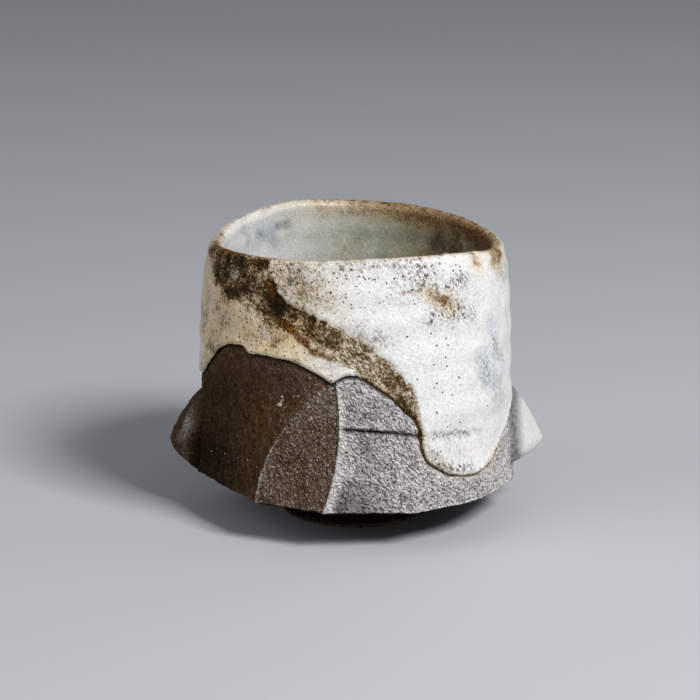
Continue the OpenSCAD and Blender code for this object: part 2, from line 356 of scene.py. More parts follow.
    def glaze_line(self, angle: Array) -> Array:
        """Height of the glaze's lower edge, with the small waver of a poured line."""
        waver = self.edge_waver * self.waver(angle, self.waver_r, self.edge_waver_mm)
        return self.glaze_edge.at(angle) + waver

    def lip_height(self, angle: Array) -> Array:
        """Height of the lip's crest, over the glaze."""
        waver = self.lip_waver * self.waver(angle, self.lip_waver_r, self.lip_waver_mm)
        return self.cup_h - self.lip_dip * self.lip_dips.at(angle) + waver

    def round_r(self, angle: Array, z: Array) -> Array:
        """Radius of the clay before the facets are cut.

        Args:
            angle: each place's angle.
            z: its height.

        Returns:
            A radius for each place.
        """
        belly, rim = self.belly_d / 2 - self.glaze_t, self.rim_d / 2 - self.glaze_t
        up = np.maximum(0.0, (z - self.belly_h) / (self.cup_h - self.belly_h))
        down = np.maximum(0.0, (self.belly_h - z) / (self.belly_h - self.hip_h))
        plan = self.squeeze * up * self.lip_plan.at(angle)
        return belly - (belly - rim) * up ** 2 + (self.hip_d / 2 - belly) * down ** 1.5 + plan

    def ridge_angle(self, k: Array, z: Array) -> Array:
        """Angle of a ridge at a height.

        Args:
            k: the ridge's number, which may count on past a full turn.
            z: the height.

        Returns:
            The angle, which counts on too.
        """
        turns, i = np.divmod(k, len(self.ridges))
        top, rise, base, bow = (self.table[i, j] for j in range(4))
        s = unit(1.0 - (z - self.hip_h) / (rise * self.cut_span))
        return mix(top, base, s) + 4.0 * s * (1.0 - s) * bow + 360.0 * turns

    def column_angle(self, z: Array) -> Array:
        """Angle of each column at a height: along the ridges below, evenly spread at the lip.

        Args:
            z: heights, in rows with one value for each column.

        Returns:
            Angles in the same shape.
        """
        along = mix(self.ridge_angle(self.k, z), self.ridge_angle(self.k + 1, z), self.f)
        even = self.ridges[0].top + 360.0 * np.arange(self.count) / self.count
        return mix(along, even, ease((z - self.glaze_h) / (self.cup_h - self.glaze_h)))

    def cut_r(self, k: Array, f: Array, z: Array) -> Array:
        """Radius of the clay on a facet.

        Args:
            k: number of the ridge before it.
            f: share of the way from there to the next ridge.
            z: the height.

        Returns:
            A radius for each place.
        """
        start, end = self.ridge_angle(k, z), self.ridge_angle(k + 1, z)
        angle = mix(start, end, f)
        whole, r0, r1 = self.round_r(angle, z), self.round_r(start, z), self.round_r(end, z)
        across = r0 * np.sin(np.radians(angle - start)) + r1 * np.sin(np.radians(end - angle))
        chord = r0 * r1 * np.sin(np.radians(end - start)) / across
        i, j = k % len(self.ridges), (k + 1) % len(self.ridges)
        arch = self.hip_h + self.cut_span * (
            mix(self.table[i, 1], self.table[j, 1], f) + 4.0 * f * (1.0 - f) * self.table[i, 5])
        depth = np.maximum(whole - chord, 0.0)
        held = depth * self.cut_max / (depth ** 3 + self.cut_max ** 3) ** (1.0 / 3.0)
        return whole - self.table[i, 4] * ease((arch - z) / self.cut_h) * held

    def clay_r(self, z: Array) -> Array:
        """Radius of the smooth clay on each column at a height."""
        cut = self.cut_r(self.k, self.f, np.minimum(z, self.glaze_h))
        return np.where(z > self.glaze_h, self.round_r(self.column_angle(z), z), cut)

    def lip_angle(self) -> Array:
        """Angle of each column at the lip."""
        return self.column_angle(np.full(self.count, self.cup_h))

    def lip_centre(self) -> Array:
        """Height of the centre of the half round lip on each column."""
        return self.lip_height(self.lip_angle()) - self.lip_glaze_t - self.lip_t / 2

    def unrolled(self, angle: Array, z: Array) -> Array:
        """Places on the wall as millimetres along and up."""
        turn, height = np.broadcast_arrays((np.asarray(angle) + 180.0) % 360.0, z)
        return np.stack([turn * self.degree, height], axis=-1)

    def edge_distance(self, angle: Array, z: Array) -> Array:
        """Distance on the wall from each place to the glaze's lower edge.

        Args:
            angle: each place's angle.
            z: its height.

        Returns:
            A distance for each place, in millimetres.
        """
        line_angle = np.linspace(-self.line_turn, self.line_turn, self.line_points)
        line_z = self.glaze_line(line_angle)
        x = (line_angle + 180.0) * self.degree
        length = np.concatenate([[0.0], np.cumsum(np.hypot(np.diff(x), np.diff(line_z)))])
        even = np.arange(0.0, length[-1], self.line_gap)
        tree = KDTree(len(even))
        for i, (px, pz) in enumerate(zip(np.interp(even, length, x), np.interp(even, length, line_z))):
            tree.insert((px, pz, 0.0), i)
        tree.balance()
        flat = self.unrolled(angle, z).reshape(-1, 2)
        far = np.array([tree.find((px, pz, 0.0))[2] for px, pz in flat])
        return far.reshape(np.shape(z))


def path_field(places: Array, path: Array) -> tuple[Array, Array]:
    """Nearest distance from unrolled places to a path of straight stretches.

    Args:
        places: points with two values in the last axis, in millimetres.
        path: the path's corners in the same measure.

    Returns:
        Distance, and share of the path's length at its nearest point.
    """
    best = np.full(places.shape[:-1], np.inf)
    along = np.zeros_like(best)
    spans = np.linalg.norm(np.diff(path, axis=0), axis=1)
    done = np.concatenate([[0.0], np.cumsum(spans)])
    for i, span in enumerate(spans):
        way = (path[i + 1] - path[i]) / span
        offset = places - path[i]
        t = np.clip(offset @ way, 0.0, span)
        gap = offset - t[..., None] * way
        far = np.hypot(gap[..., 0], gap[..., 1])
        near = far < best
        best = np.where(near, far, best)
        along = np.where(near, (done[i] + t) / done[-1], along)
    return best, along


class Draft:
    """Points, faces and surface marks of one piece while it is put together."""

    def __init__(self, names: Sequence[str]) -> None:
        """Starts empty.

        Args:
            names: the marks that each point gets.
        """
        self.names = tuple(names)
        self.points: Rings = []
        self.lays: Rings = []
        self.faces: Rings = []
        self.marks: dict[str, Rings] = {name: [] for name in self.names}
        self.total = 0

    def grid(self, points: Array, marks: Optional[dict[str, Any]] = None,
             lay: Optional[Array] = None) -> Array:
        """Adds rows of points.

        Args:
            points: rows of places in millimetres.
            marks: values by name for each point; a name that is left out gets zeros.
            lay: places in the clay's grain, in millimetres; the points themselves where left out.

        Returns:
            The points' numbers, in the grid's shape.
        """
        shape = points.shape[:-1]
        size = int(np.prod(shape))
        for name in self.names:
            value = (marks or {}).get(name, 0.0)
            self.marks[name].append(np.broadcast_to(value, shape).reshape(-1))
        self.points.append(points.reshape(-1, 3))
        self.lays.append((points if lay is None else lay).reshape(-1, 3))
        self.total += size
        return np.arange(self.total - size, self.total).reshape(shape)

    def skin(self, index: Array, closed: bool = True) -> None:
        """Joins each row to the next with quads.

        Args:
            index: the points' numbers, in rows.
            closed: whether the last column is joined to the first.
        """
        here = index if closed else index[:, :-1]
        after = np.roll(index, -1, axis=1) if closed else index[:, 1:]
        self.faces.append(np.stack([here[:-1], here[1:], after[1:], after[:-1]], axis=-1).reshape(-1, 4))

    def cap(self, ring: Array, centre: Sequence[float], first: bool) -> None:
        """Closes a ring with a fan to one point.

        Args:
            ring: the numbers of the ring's points.
            centre: the fan's point.
            first: whether that point comes before the ring or after it.
        """
        marks = {name: np.concatenate(parts)[ring].mean() for name, parts in self.marks.items()}
        hub = np.full(len(ring), self.grid(np.array([[centre]], dtype=float), marks)[0, 0])
        after = np.roll(ring, -1)
        self.faces.append(np.stack([hub, ring, after] if first else [ring, hub, after], axis=-1))

    def make(self, name: str, finish: Material) -> Object:
        """Makes the mesh object, in metres, with its marks as attributes of its points.

        Args:
            name: its name.
            finish: its material.

        Returns:
            The piece.
        """
        mesh = bpy.data.meshes.new(name)
        faces = [face for part in self.faces for face in part.tolist()]
        mesh.from_pydata((np.concatenate(self.points) * MM).tolist(), [], faces)
        for mark in self.names:
            values = np.concatenate(self.marks[mark]).astype(np.float32)
            mesh.attributes.new(mark, "FLOAT", "POINT").data.foreach_set("value", values)
        lay = (np.concatenate(self.lays) * MM).astype(np.float32).reshape(-1)
        mesh.attributes.new(LAY, "FLOAT_VECTOR", "POINT").data.foreach_set("vector", lay)
        mesh.polygons.foreach_set("use_smooth", np.ones(len(faces), dtype=bool))
        mesh.materials.append(finish)
        mesh.update()
        piece = bpy.data.objects.new(name, mesh)
        bpy.context.scene.collection.objects.link(piece)
        return piece


def normals_of(points: Array) -> Array:
    """Unit outward directions on a closed grid whose rows run downwards on the outside.

    Args:
        points: the grid's rows.

    Returns:
        A direction for each point.
    """
    down = np.gradient(points, axis=0)
    along = np.roll(points, -1, axis=1) - np.roll(points, 1, axis=1)
    way = np.cross(down, along)
    return way / np.maximum(np.linalg.norm(way, axis=-1, keepdims=True), 1e-9)


def add_node(tree: NodeTree, kind: str, inputs: dict[Any, Any] | tuple[Any, ...] = (),
             stops: Sequence[tuple[float, str]] = (), **settings: Any) -> Node:
    """Adds a node to a tree.

    Args:
        tree: the tree that gets it.
        kind: the node's type name, from which a leading ShaderNode is left out.
        inputs: by name or number, or from the first on in order, as a range node's value, from and to. Each
            is a value, a socket, or a node that gives its first output in use.
        stops: places and hex colours for a colour ramp.
        settings: the node's own properties.

    Returns:
        The node.
    """
    node = tree.nodes.new(kind if "Node" in kind else "ShaderNode" + kind)
    for name, value in settings.items():
        setattr(node, name, value)
    for key, value in inputs.items() if isinstance(inputs, dict) else enumerate(inputs):
        socket = node.inputs[key] if isinstance(key, int) else next(
            s for s in node.inputs if s.name == key and s.enabled)
        if isinstance(value, Node):
            value = next(s for s in value.outputs if s.enabled)
        if isinstance(value, NodeSocket):
            tree.links.new(value, socket)
        else:
            socket.default_value = value
    if stops:
        ramp = node.color_ramp
        while len(ramp.elements) < len(stops):
            ramp.elements.new(0.5)
        for element, (place, code) in zip(ramp.elements, stops):
            element.position, element.color = place, linear(code)
    return node


def per_mm(size: float) -> float:
    """Texture scale at which one lump is so many millimetres wide."""
    return 1.0 / (size * MM)


def new_group(name: str, inputs: dict[str, str]) -> tuple[NodeTree, Adder, Any]:
    """Starts a geometry node tree with one output.

    Args:
        name: its name.
        inputs: its inputs by name, each with its kind of socket.

    Returns:
        The tree, the function that adds nodes to it, and its inputs' sockets by name.
    """
    tree = bpy.data.node_groups.new(name, "GeometryNodeTree")
    tree.interface.new_socket("Geometry", in_out="OUTPUT", socket_type="NodeSocketGeometry")
    for label, kind in inputs.items():
        tree.interface.new_socket(label, in_out="INPUT", socket_type="NodeSocket" + kind)
    add = partial(add_node, tree)
    return tree, add, add("NodeGroupInput").outputs


def new_material(name: str) -> tuple[Material, Adder]:
    """Starts a material with an empty node tree.

    Args:
        name: its name.

    Returns:
        The material, and the function that adds nodes to its tree.
    """
    material = bpy.data.materials.new(name)
    material.use_nodes = True
    material.node_tree.nodes.clear()
    return material, partial(add_node, material.node_tree)


@dataclass(frozen=True)
class StonewareClay:
    """Bare stoneware fired in reduction and torn by a knife.

    To the eye it is matt and gritty: a brown to ash grey body of lumps, crumbs and pits, whose high places
    catch the light and whose hollows stay dark, through the bump and through painted highlight and shade,
    with pale edges that are partly wear and partly painted highlight, a little rust, pale specks that are
    partly white sand and partly painted glints, and painted shade where the dark mark lies.
    """

    name: str = "bare_stoneware"
    grey: str = "#d8d3d0"
    brown: str = "#5f3d15"
    pale: str = "#cdc8c3"
    dark: str = "#0c0906"
    rust: str = "#6d3a22"
    pit: str = "#2a1712"
    sand: str = "#f4f2ee"
    patch_mm: float = 7.0
    lump_mm: float = 2.2
    grit_mm: float = 0.5
    crumb_mm: float = 0.85
    pit_mm: float = 0.75
    sand_mm: float = 0.42
    depth_mm: float = 1.9

    def make(self) -> Material:
        """Builds the material, which reads the clay marks.

        Returns:
            The material.
        """
        material, add = new_material(self.name)
        place = add("TexCoord").outputs["Object"]
        lay = add("Attribute", attribute_name=LAY).outputs["Vector"]
        mark = {n: add("Attribute", attribute_name=n).outputs["Fac"] for n in CLAY_MARKS}
        patch, grit, hole, sand, lump = (
            add("TexNoise", {"Vector": at, "Scale": per_mm(size), "Detail": detail})
            for at, size, detail in (
                (place, self.patch_mm, 4.0), (lay, self.grit_mm, 1.0), (lay, self.pit_mm, 1.5),
                (place, self.sand_mm, 0.5), (lay, self.lump_mm, 1.5)))
        hole = add("MapRange", (hole, 0.37, 0.3))
        crumb = add("TexVoronoi", {"Vector": lay, "Scale": per_mm(self.crumb_mm)})
        crumb = add("MapRange", (crumb, 0.0, 0.8, 0.16, -0.16))
        lump = add("MapRange", (lump, 0.25, 0.75, -0.2, 0.2))
        lift = add("Math", (hole, -0.3, grit), operation="MULTIPLY_ADD")
        for part in (crumb, lump):
            lift = add("Math", (lift, part), operation="ADD")
        mottle = add("MapRange", (patch, 0.3, 0.7, -0.03, 0.03))
        # Hollows a little browner, high places a little greyer and lighter: painted shade and painted
        # highlight.
        hollow = add("MapRange", (lift, 0.3, 0.7, 0.03, -0.03))
        warmth = add("Math", (mottle, hollow), operation="ADD")
        warmth = add("Math", (mark["warm"], warmth), operation="ADD", use_clamp=True)
        body = add("Mix", {"Factor": warmth, "A": linear(self.grey), "B": linear(self.brown)},
                   data_type="RGBA")
        for name, low, high, code in (("rust", 0.36, 0.24, self.rust), ("pale", 0.0, 0.4, self.pale)):
            share = add("MapRange", (lift, low, high))
            share = add("Math", (share, mark[name]), operation="MULTIPLY", use_clamp=True)
            body = add("Mix", {"Factor": share, "A": body, "B": linear(code)}, data_type="RGBA")
        # Painted highlight and shade: the colour is made lighter on the high places and darker in the
        # hollows, less so on the pale strips.
        shade = add("MapRange", (lift, 0.3, 0.7, 0.78, 1.18))
        rough_share = add("MapRange", (mark["pale"], 0.0, 1.0, 1.0, 0.6))
        body = add("Mix", {"Factor": rough_share, "A": body, "B": shade}, data_type="RGBA",
                   blend_type="MULTIPLY")
        # The pits are painted dark red brown, partly an iron tint and partly painted shade. The pale specks
        # by the sand mark are partly white sand and partly painted glints. Then comes the dark mark: painted
        # shade on the facets, the underside, the foot and the left lug, and the darker groove and line under
        # the glaze's edge.
        hole = add("Math", (hole, rough_share), operation="MULTIPLY")
        hole = add("Math", (hole, 0.75), operation="MULTIPLY")
        glint = add("MapRange", (sand, 0.6, 0.68))
        glint = add("Math", (glint, mark["sand"]), operation="MULTIPLY", use_clamp=True)
        for share, code in ((hole, self.pit), (glint, self.sand), (mark["dark"], self.dark)):
            body = add("Mix", {"Factor": share, "A": body, "B": linear(code)}, data_type="RGBA")
        rough = add("MapRange", (lift, 0.3, 0.6, 0.85, 0.45))
        relief = add("MapRange", (mark["warm"], 0.0, 1.0, 1.0, 0.92))
        relief = add("Math", (relief, rough_share), operation="MULTIPLY")
        bump = add("Bump", {"Strength": relief, "Distance": self.depth_mm * MM, "Height": lift})
        # Less specular where the dark mark paints shade, so that it stays dark.
        sheen = add("MapRange", (mark["dark"], 0.0, 1.0, 0.2, 0.02))
        shader = add("BsdfPrincipled", {
            "Base Color": body, "Roughness": rough, "Normal": bump, "IOR": 1.5, "Specular IOR Level": sheen})
        add("OutputMaterial", {"Surface": shader})
        return material


@dataclass(frozen=True)
class AshGlaze:
    """Poured feldspar glaze over dark stoneware, white where thick and iron brown where thin.

    To the eye it is a soft, half glossy white with cream, grey and blue clouds, and sugary when seen close.
    Where it ran thin it breaks over the clay's grit to a peppered brown, drawn out along the pour, with rust
    where iron came through. Inside the cup it has a grey green tone. The sugar's crystals are finer in a real
    glaze, and are drawn as coarse as they need to show.

    Attributes:
        name: the material's name.
        gloss: roughness where it is thick.
        pepper: how strongly the grit breaks up its cover.
        clear: how evenly the blue and grey lie, from 0 in grains to 1 all over.
    """

    name: str
    gloss: float
    pepper: float
    clear: float
    thin: tuple[tuple[float, str], ...] = (
        (0.0, "#1f1709"), (0.2, "#423315"), (0.36, "#6b573a"), (0.52, "#a8967d"), (0.68, "#d0c7b9"),
        (0.84, "#e3e0da"), (1.0, "#efeeec"))
    cream: str = "#fbe1b4"
    rust_dark: str = "#2c1503"
    rust_light: str = "#82500c"
    blue: str = "#a2b3c4"
    ash: str = "#5d5c60"
    celadon: str = "#b0b7a6"
    speck: str = "#4a2119"
    cloud_mm: float = 3.2
    grain_mm: float = 0.5
    sugar_mm: float = 0.36
    speck_mm: float = 1.25
    flow_lean: float = 50.0
    flow_stretch: float = 1.7

    def make(self) -> Material:
        """Builds the material, which reads the glaze marks.

        Returns:
            The material.
        """
        material, add = new_material(self.name)
        place = add("TexCoord").outputs["Object"]
        mark = {n: add("Attribute", attribute_name=n).outputs["Fac"] for n in GLAZE_MARKS}
        flow = add("Mapping", {
            "Vector": place, "Rotation": (0.0, math.radians(self.flow_lean), 0.0),
            "Scale": (self.flow_stretch, 1.0, 1.0)}, vector_type="TEXTURE")
        cloud, grain, sugar = (
            add("TexNoise", {"Vector": at, "Scale": per_mm(size), "Detail": detail, "Roughness": rough})
            for at, size, detail, rough in (
                (place, self.cloud_mm, 5.0, 0.6), (flow, self.grain_mm, 2.0, 0.65),
                (flow, self.sugar_mm, 1.0, 0.5)))
        dots = add("TexVoronoi", {"Vector": place, "Scale": per_mm(self.speck_mm)})
        rest = add("Math", (1.0, mark["cover"]), operation="SUBTRACT", use_clamp=True)
        bare = add("Math", (rest, mark["cover"]), operation="MULTIPLY")
        bare = add("Math", (bare, bare), operation="MULTIPLY")
        bare = add("Math", (bare, 7.0 * self.pepper, 0.2 * self.pepper), operation="MULTIPLY_ADD")
        bare = add("Math", (mark["cream"], 0.35 * self.pepper, bare), operation="MULTIPLY_ADD")
        pepper = add("Mix", {"Factor": 0.52, "A": grain, "B": sugar}, data_type="FLOAT")
        pepper = add("Math", (pepper, 0.5), operation="SUBTRACT")
        pepper = add("Math", (pepper, bare, mark["cover"]), operation="MULTIPLY_ADD")
        drift = add("MapRange", (cloud, 0.3, 0.7, -0.16, 0.09))
        depth = add("Math", (pepper, drift), operation="ADD", use_clamp=True)
        colour: Any = add("ValToRGB", {"Fac": depth}, stops=self.thin)
        for name, code, breaks, start, least in (
                ("cream", self.cream, cloud, 0.38, 0.6), ("celadon", self.celadon, cloud, 0.38, 0.6),
                ("ash", self.ash, grain, 0.46, self.clear ** 2),
                ("blue", self.blue, grain, 0.42, self.clear)):
            share = add("MapRange", (breaks, start, start + 0.16, least, 1.0))
            share = add("Math", (share, mark[name]), operation="MULTIPLY", use_clamp=True)
            colour = add("Mix", {"Factor": share, "A": colour, "B": linear(code)}, data_type="RGBA",
                         blend_type="MULTIPLY")
        frost = add("MapRange", (sugar, 0.32, 0.62, 0.84, 1.03))
        colour = add("Mix", {"Factor": 1.0, "A": colour, "B": frost}, data_type="RGBA",
                     blend_type="MULTIPLY")
        iron = add("Math", (grain, mark["rust"]), operation="ADD")
        iron = add("MapRange", (iron, 0.8, 1.25, 0.0, 0.92))
        rusty = add("MapRange", (sugar, 0.36, 0.62))
        rusty = add("Mix", {"Factor": rusty, "A": linear(self.rust_dark), "B": linear(self.rust_light)},
                    data_type="RGBA")
        colour = add("Mix", {"Factor": iron, "A": colour, "B": rusty}, data_type="RGBA")
        size = add("Math", (mark["spots"], 0.2), operation="MULTIPLY")
        near = add("Math", (dots, size), operation="LESS_THAN")
        spot = add("Math", (near, 0.75), operation="MULTIPLY")
        colour = add("Mix", {"Factor": spot, "A": colour, "B": linear(self.speck)}, data_type="RGBA")
        rough = add("MapRange", (depth, 0.1, 0.9, 0.62, self.gloss))
        rise = add("Math", (grain, bare, sugar), operation="MULTIPLY_ADD")
        rise = add("Math", (rise, near), operation="SUBTRACT")
        bump = add("Bump", {"Strength": 0.6, "Distance": 0.14 * MM, "Height": rise})
        sheen = add("MapRange", (depth, 0.1, 0.7, 0.1, 0.36))
        shader = add("BsdfPrincipled", {
            "Base Color": colour, "Roughness": rough, "Normal": bump, "IOR": 1.52,
            "Specular IOR Level": sheen})
        add("OutputMaterial", {"Surface": shader})
        return material


@dataclass(frozen=True)
class HardGrain:
    """Small hard grain, with a slight glint and two tones in soft patches.

    Attributes:
        name: the material's name.
        dark: its darker tone.
        light: its lighter tone.
        patch_mm: width of a patch.
        detail: finer steps in the patches.
        blend: range of the noise, each way from its middle, in which one tone passes into the other.
        rough: roughness.
        ior: index of refraction.
    """

    name: str
    dark: str
    light: str
    patch_mm: float
    detail: float
    blend: float
    rough: float
    ior: float

    def make(self) -> Material:
        """Builds the material.

        Returns:
            The material.
        """
        material, add = new_material(self.name)
        place = add("TexCoord").outputs["Object"]
        patch = add("TexNoise", {"Vector": place, "Scale": per_mm(self.patch_mm), "Detail": self.detail})
        tone = add("ValToRGB", {"Fac": patch},
                   stops=((0.5 - self.blend, self.dark), (0.5 + self.blend, self.light)))
        shader = add("BsdfPrincipled", {"Base Color": tone, "Roughness": self.rough, "IOR": self.ior})
        add("OutputMaterial", {"Surface": shader})
        return material


@dataclass(frozen=True)
class PaleBoard:
    """Matt pale board with a faint fibre, for the studio's floor."""

    name: str = "matt_pale_board"
    tone: str = "#c6c9ce"
    rough: float = 0.75
    fibre: float = 0.08
    fibre_mm: float = 0.8
    depth_mm: float = 0.05

    def make(self) -> Material:
        """Builds the material.

        Returns:
            The material.
        """
        material, add = new_material(self.name)
        place = add("TexCoord").outputs["Object"]
        fibre = add("TexNoise", {"Vector": place, "Scale": per_mm(self.fibre_mm), "Detail": 2.0})
        bump = add("Bump", {"Strength": self.fibre, "Distance": self.depth_mm * MM, "Height": fibre})
        shader = add("BsdfPrincipled", {
            "Base Color": linear(self.tone), "Roughness": self.rough, "Normal": bump})
        add("OutputMaterial", {"Surface": shader})
        return material


# Iron that melted through the glaze, a small, dark red brown, half glossy dot.
IRON_SPOT = HardGrain("iron_spot", "#2a100b", "#5c2c22", 0.4, 2.0, 0.2, 0.42, 1.55)
# Feldspar sand in the clay, pale and hard.
FELDSPAR_SAND = HardGrain("feldspar_sand", "#5a4c40", "#c8c0b6", 0.7, 1.0, 0.14, 0.38, 1.53)

LAY = "lay"
# Clay marks: dark carries painted shade, besides the darker groove and the line under the glaze's edge. Pale
# carries paler clay, which on the ridges' strips, the left lug and the foot is partly wear and partly painted
# highlight. Sand carries pale specks, partly white sand and partly painted glints.
CLAY_MARKS = ("warm", "pale", "dark", "rust", "sand")
GLAZE_MARKS = ("cover", "cream", "rust", "blue", "ash", "celadon", "spots")


class StainKind(Enum):
    """Colours that the fire left in the glaze, by the mark that carries them."""

    RUST = "rust"
    BLUE = "blue"
    ASH = "ash"
    CREAM = "cream"


@dataclass(frozen=True)
class Stain:
    """Soft stroke of colour in the glaze.

    Attributes:
        width: distance in millimetres at which it has faded to about a third.
        strength: share of colour at its middle.
        path: angles and heights that it runs through.
    """

    width: float
    strength: float
    path: tuple[tuple[float, float], ...]


@dataclass(frozen=True)
class ThinBand:
    """Streak where the pour left the glaze thin.

    Attributes:
        upper: along its upper edge, the angle, the height, the width of the fade and the streak's strength.
        lower: along its lower edge, the angle and the height.
        soft: width of the fade along the lower edge.
        fade: degrees in which the streak comes in at its start.
    """

    upper: tuple[tuple[float, float, float, float], ...]
    lower: tuple[tuple[float, float], ...]
    soft: float = 3.4
    fade: float = 9.0

    def share(self, angle: Array, z: Array, waver: Array) -> Array:
        """How far each place lies in the streak.

        Args:
            angle: each place's angle, from -180 to 180.
            z: its height.
            waver: its value in the random field that frays the edges.

        Returns:
            A share for each place, from 0 to 1.
        """
        top, foot = np.array(self.upper), np.array(self.lower)
        high, crisp, strength = (np.interp(angle, top[:, 0], top[:, i]) for i in (1, 2, 3))
        low = np.interp(angle, foot[:, 0], foot[:, 1])
        ends = ease((angle - top[0, 0]) / self.fade) * ease((top[-1, 0] - angle) / 2.0)
        over = ease((high + 0.45 * waver - z) / crisp + 0.5)
        share = strength * ends * over * ease((z - low - 0.9 * waver) / self.soft + 0.5)
        return share * np.clip(1.0 + 0.2 * waver, 0.0, 1.0 / 0.9)


FRONT_BAND = ThinBand(
    upper=((-180, 58.6, 1.2, 0.6), (-150, 58.4, 1.2, 0.7), (-130, 58.0, 1.8, 0.76), (-124.4, 57.3, 2.0, 0.8),
           (-121, 54.2, 1.2, 0.86), (-119, 52.0, 0.9, 0.92), (-115.1, 50.0, 1.2, 0.86),
           (-108.3, 49.2, 1.5, 0.8), (-104.8, 48.2, 1.8, 0.78), (-99, 46.8, 2.2, 0.72),
           (-94.7, 45.4, 2.6, 0.67), (-89.6, 44.4, 3.0, 0.64), (-86.3, 43.0, 3.2, 0.64),
           (-81.4, 40.8, 3.4, 0.64), (-74.2, 37.0, 3.0, 0.66), (-70.5, 35.0, 2.6, 0.66),
           (-68.3, 32.5, 2.2, 0.64), (-66.6, 29.0, 2.0, 0.6), (-65, 25.5, 1.5, 0.5)),
    lower=((-180, 56.0), (-170, 54.5), (-156.2, 52.0), (-147, 49.3), (-135.3, 48.1), (-127.7, 47.4),
           (-120.2, 46.4), (-116.2, 44.9), (-111, 43.8), (-105.4, 42.2), (-100, 41), (-93.7, 39.0),
           (-89.4, 36.6), (-84, 33.0), (-75, 27.0), (-65, 22.0)))
BACK_BAND = ThinBand(
    upper=((52, 57, 1, 0.9), (78, 56, 1, 0.9), (92, 50, 1.4, 0.85), (108, 46, 2, 0.75),
           (124, 41.5, 2.6, 0.65), (134, 38, 3, 0.5)),
    lower=((52, 56), (70, 50), (92, 44.5), (108, 40), (124, 36), (134, 34)))

Strokes = dict[StainKind, tuple[Stain, ...]]
STAINS: Strokes = {
    StainKind.RUST: (
        Stain(0.8, 1, ((-116.6, 46.4), (-113.8, 45.2), (-111.1, 43.7), (-107.6, 42.3))),
        Stain(0.9, 0.75, ((-105.4, 41), (-103.2, 40.5), (-98.6, 40))),
        Stain(1.1, 0.62, ((-123.6, 53.6), (-122.1, 52.3), (-121.2, 51.2))),
        Stain(1.2, 0.45, ((-61, 51.6), (-57, 50.4))),
        Stain(0.9, 0.42, ((-56.6, 50.3), (-52, 48.9))),
        Stain(0.7, 0.55, ((-72, 52.6), (-66, 52.5))),
        Stain(1.3, 0.5, ((-27, 55.4), (-22.5, 54.6), (-16, 55.6))),
        Stain(0.8, 0.5, ((-40, 56.4), (-37, 55.6))),
        Stain(0.7, 0.5, ((-82, 36.6), (-72, 30.5), (-68.5, 26.5))),
        Stain(1.2, 0.8, ((100, 47.5), (112, 43))),
        Stain(1, 0.7, ((20, 52.5), (27, 50))),
    ),
    StainKind.CREAM: (
        Stain(1.8, 0.8, ((-62, 51.6), (-57, 50), (-54, 49))),
        Stain(2, 0.9, ((-27, 55.4), (-22.5, 54.6), (-16, 55.6))),
        Stain(1.3, 0.8, ((-40, 56.4), (-37, 55.6))),
        Stain(6, 0.75, ((-176, 44), (-152, 44.5), (-126, 43), (-116, 42))),
        # Broad cream over the upper left of the white glaze, which also darkens it there: partly a cream
        # tone, partly painted shade.
        Stain(5, 0.35, ((-120, 56), (-104, 51))),
        Stain(1.6, 0.12, ((-50, 18), (-38, 18.6))),
        Stain(5, 0.55, ((150, 40), (176, 42))),
    ),
    StainKind.ASH: (
        Stain(1.8, 0.9, ((-62, 47.1), (-51.5, 47.4), (-44, 46.3))),
        Stain(1.5, 0.8, ((-67, 55.9), (-64, 55))),
        Stain(1.4, 0.8, ((-54, 53.2), (-48, 53.9))),
        Stain(1.2, 0.8, ((-95, 57.5), (-79, 58.2), (-66, 58.2))),
        Stain(2.2, 0.7, ((-22, 52.6), (-14, 52))),
        Stain(2, 0.6, ((-88, 44.5), (-78, 42.5))),
        Stain(2.5, 0.6, ((60, 47), (75, 42))),
        Stain(2.5, 0.6, ((150, 48), (168, 44))),
        Stain(1.2, 0.5, ((-29.8, 39.4), (-28.5, 37.5))),
        Stain(1.4, 0.55, ((-36.8, 34.8), (-35.5, 32.4))),
        Stain(1, 0.5, ((-27, 35.9), (-22.5, 35.2))),
        Stain(0.8, 0.8, ((-61, 23.2), (-50, 22.5), (-44, 22))),
        Stain(1.1, 0.9, ((-62.5, 20), (-58, 17.3), (-51, 15.6), (-42, 15))),
        # Broad grey over the upper left of the white glaze, which darkens it there: painted shade.
        Stain(5, 0.7, ((-118, 55), (-106, 52))),
        Stain(3, 0.45, ((-121, 58), (-100, 58))),
        Stain(3.5, 0.5, ((-72, 55), (-60, 53), (-52, 49))),
        Stain(1.3, 0.35, ((-56, 20.6), (-47, 18.4))),
    ),
    StainKind.BLUE: (
        Stain(2.4, 0.6, ((-32, 43.5), (-29.5, 38.8), (-27, 36))),
        Stain(2.8, 0.7, ((-37.5, 36.4), (-33, 33.2), (-29, 30.2), (-24, 28))),
        Stain(1, 0.5, ((-60, 23.1), (-48, 22.4), (-36, 21.4))),
        Stain(2.6, 0.7, ((40, 44), (46, 38))),
        Stain(2.2, 0.6, ((80, 28), (86, 21))),
    ),
}
INSIDE_STAINS: Strokes = {
    StainKind.BLUE: (
        Stain(1.3, 0.4, ((152, 56.2), (146, 53.7))),
        Stain(1.5, 0.5, ((139.2, 54.4), (135.6, 55), (126.4, 54.9), (122.2, 55.1))),
        Stain(1.4, 0.35, ((132, 53), (127, 50.5))),
    ),
    StainKind.ASH: (
        Stain(1, 0.5, ((128, 54.9), (121, 55.1))),
        Stain(0.9, 0.4, ((139.5, 54.4), (136, 53.2))),
        Stain(1.8, 0.85, ((48.5, 53.2), (52, 51))),
    ),
    StainKind.RUST: (
        Stain(1.5, 1, ((20, 56.2), (26, 56.3))),
        Stain(1.3, 1, ((6, 55.8), (13, 55.6))),
    ),
}
GROOVE = ((-97, 25.5), (-82, 24.6), (-65.6, 23.3), (-48.5, 22.4), (-22.6, 19.8))


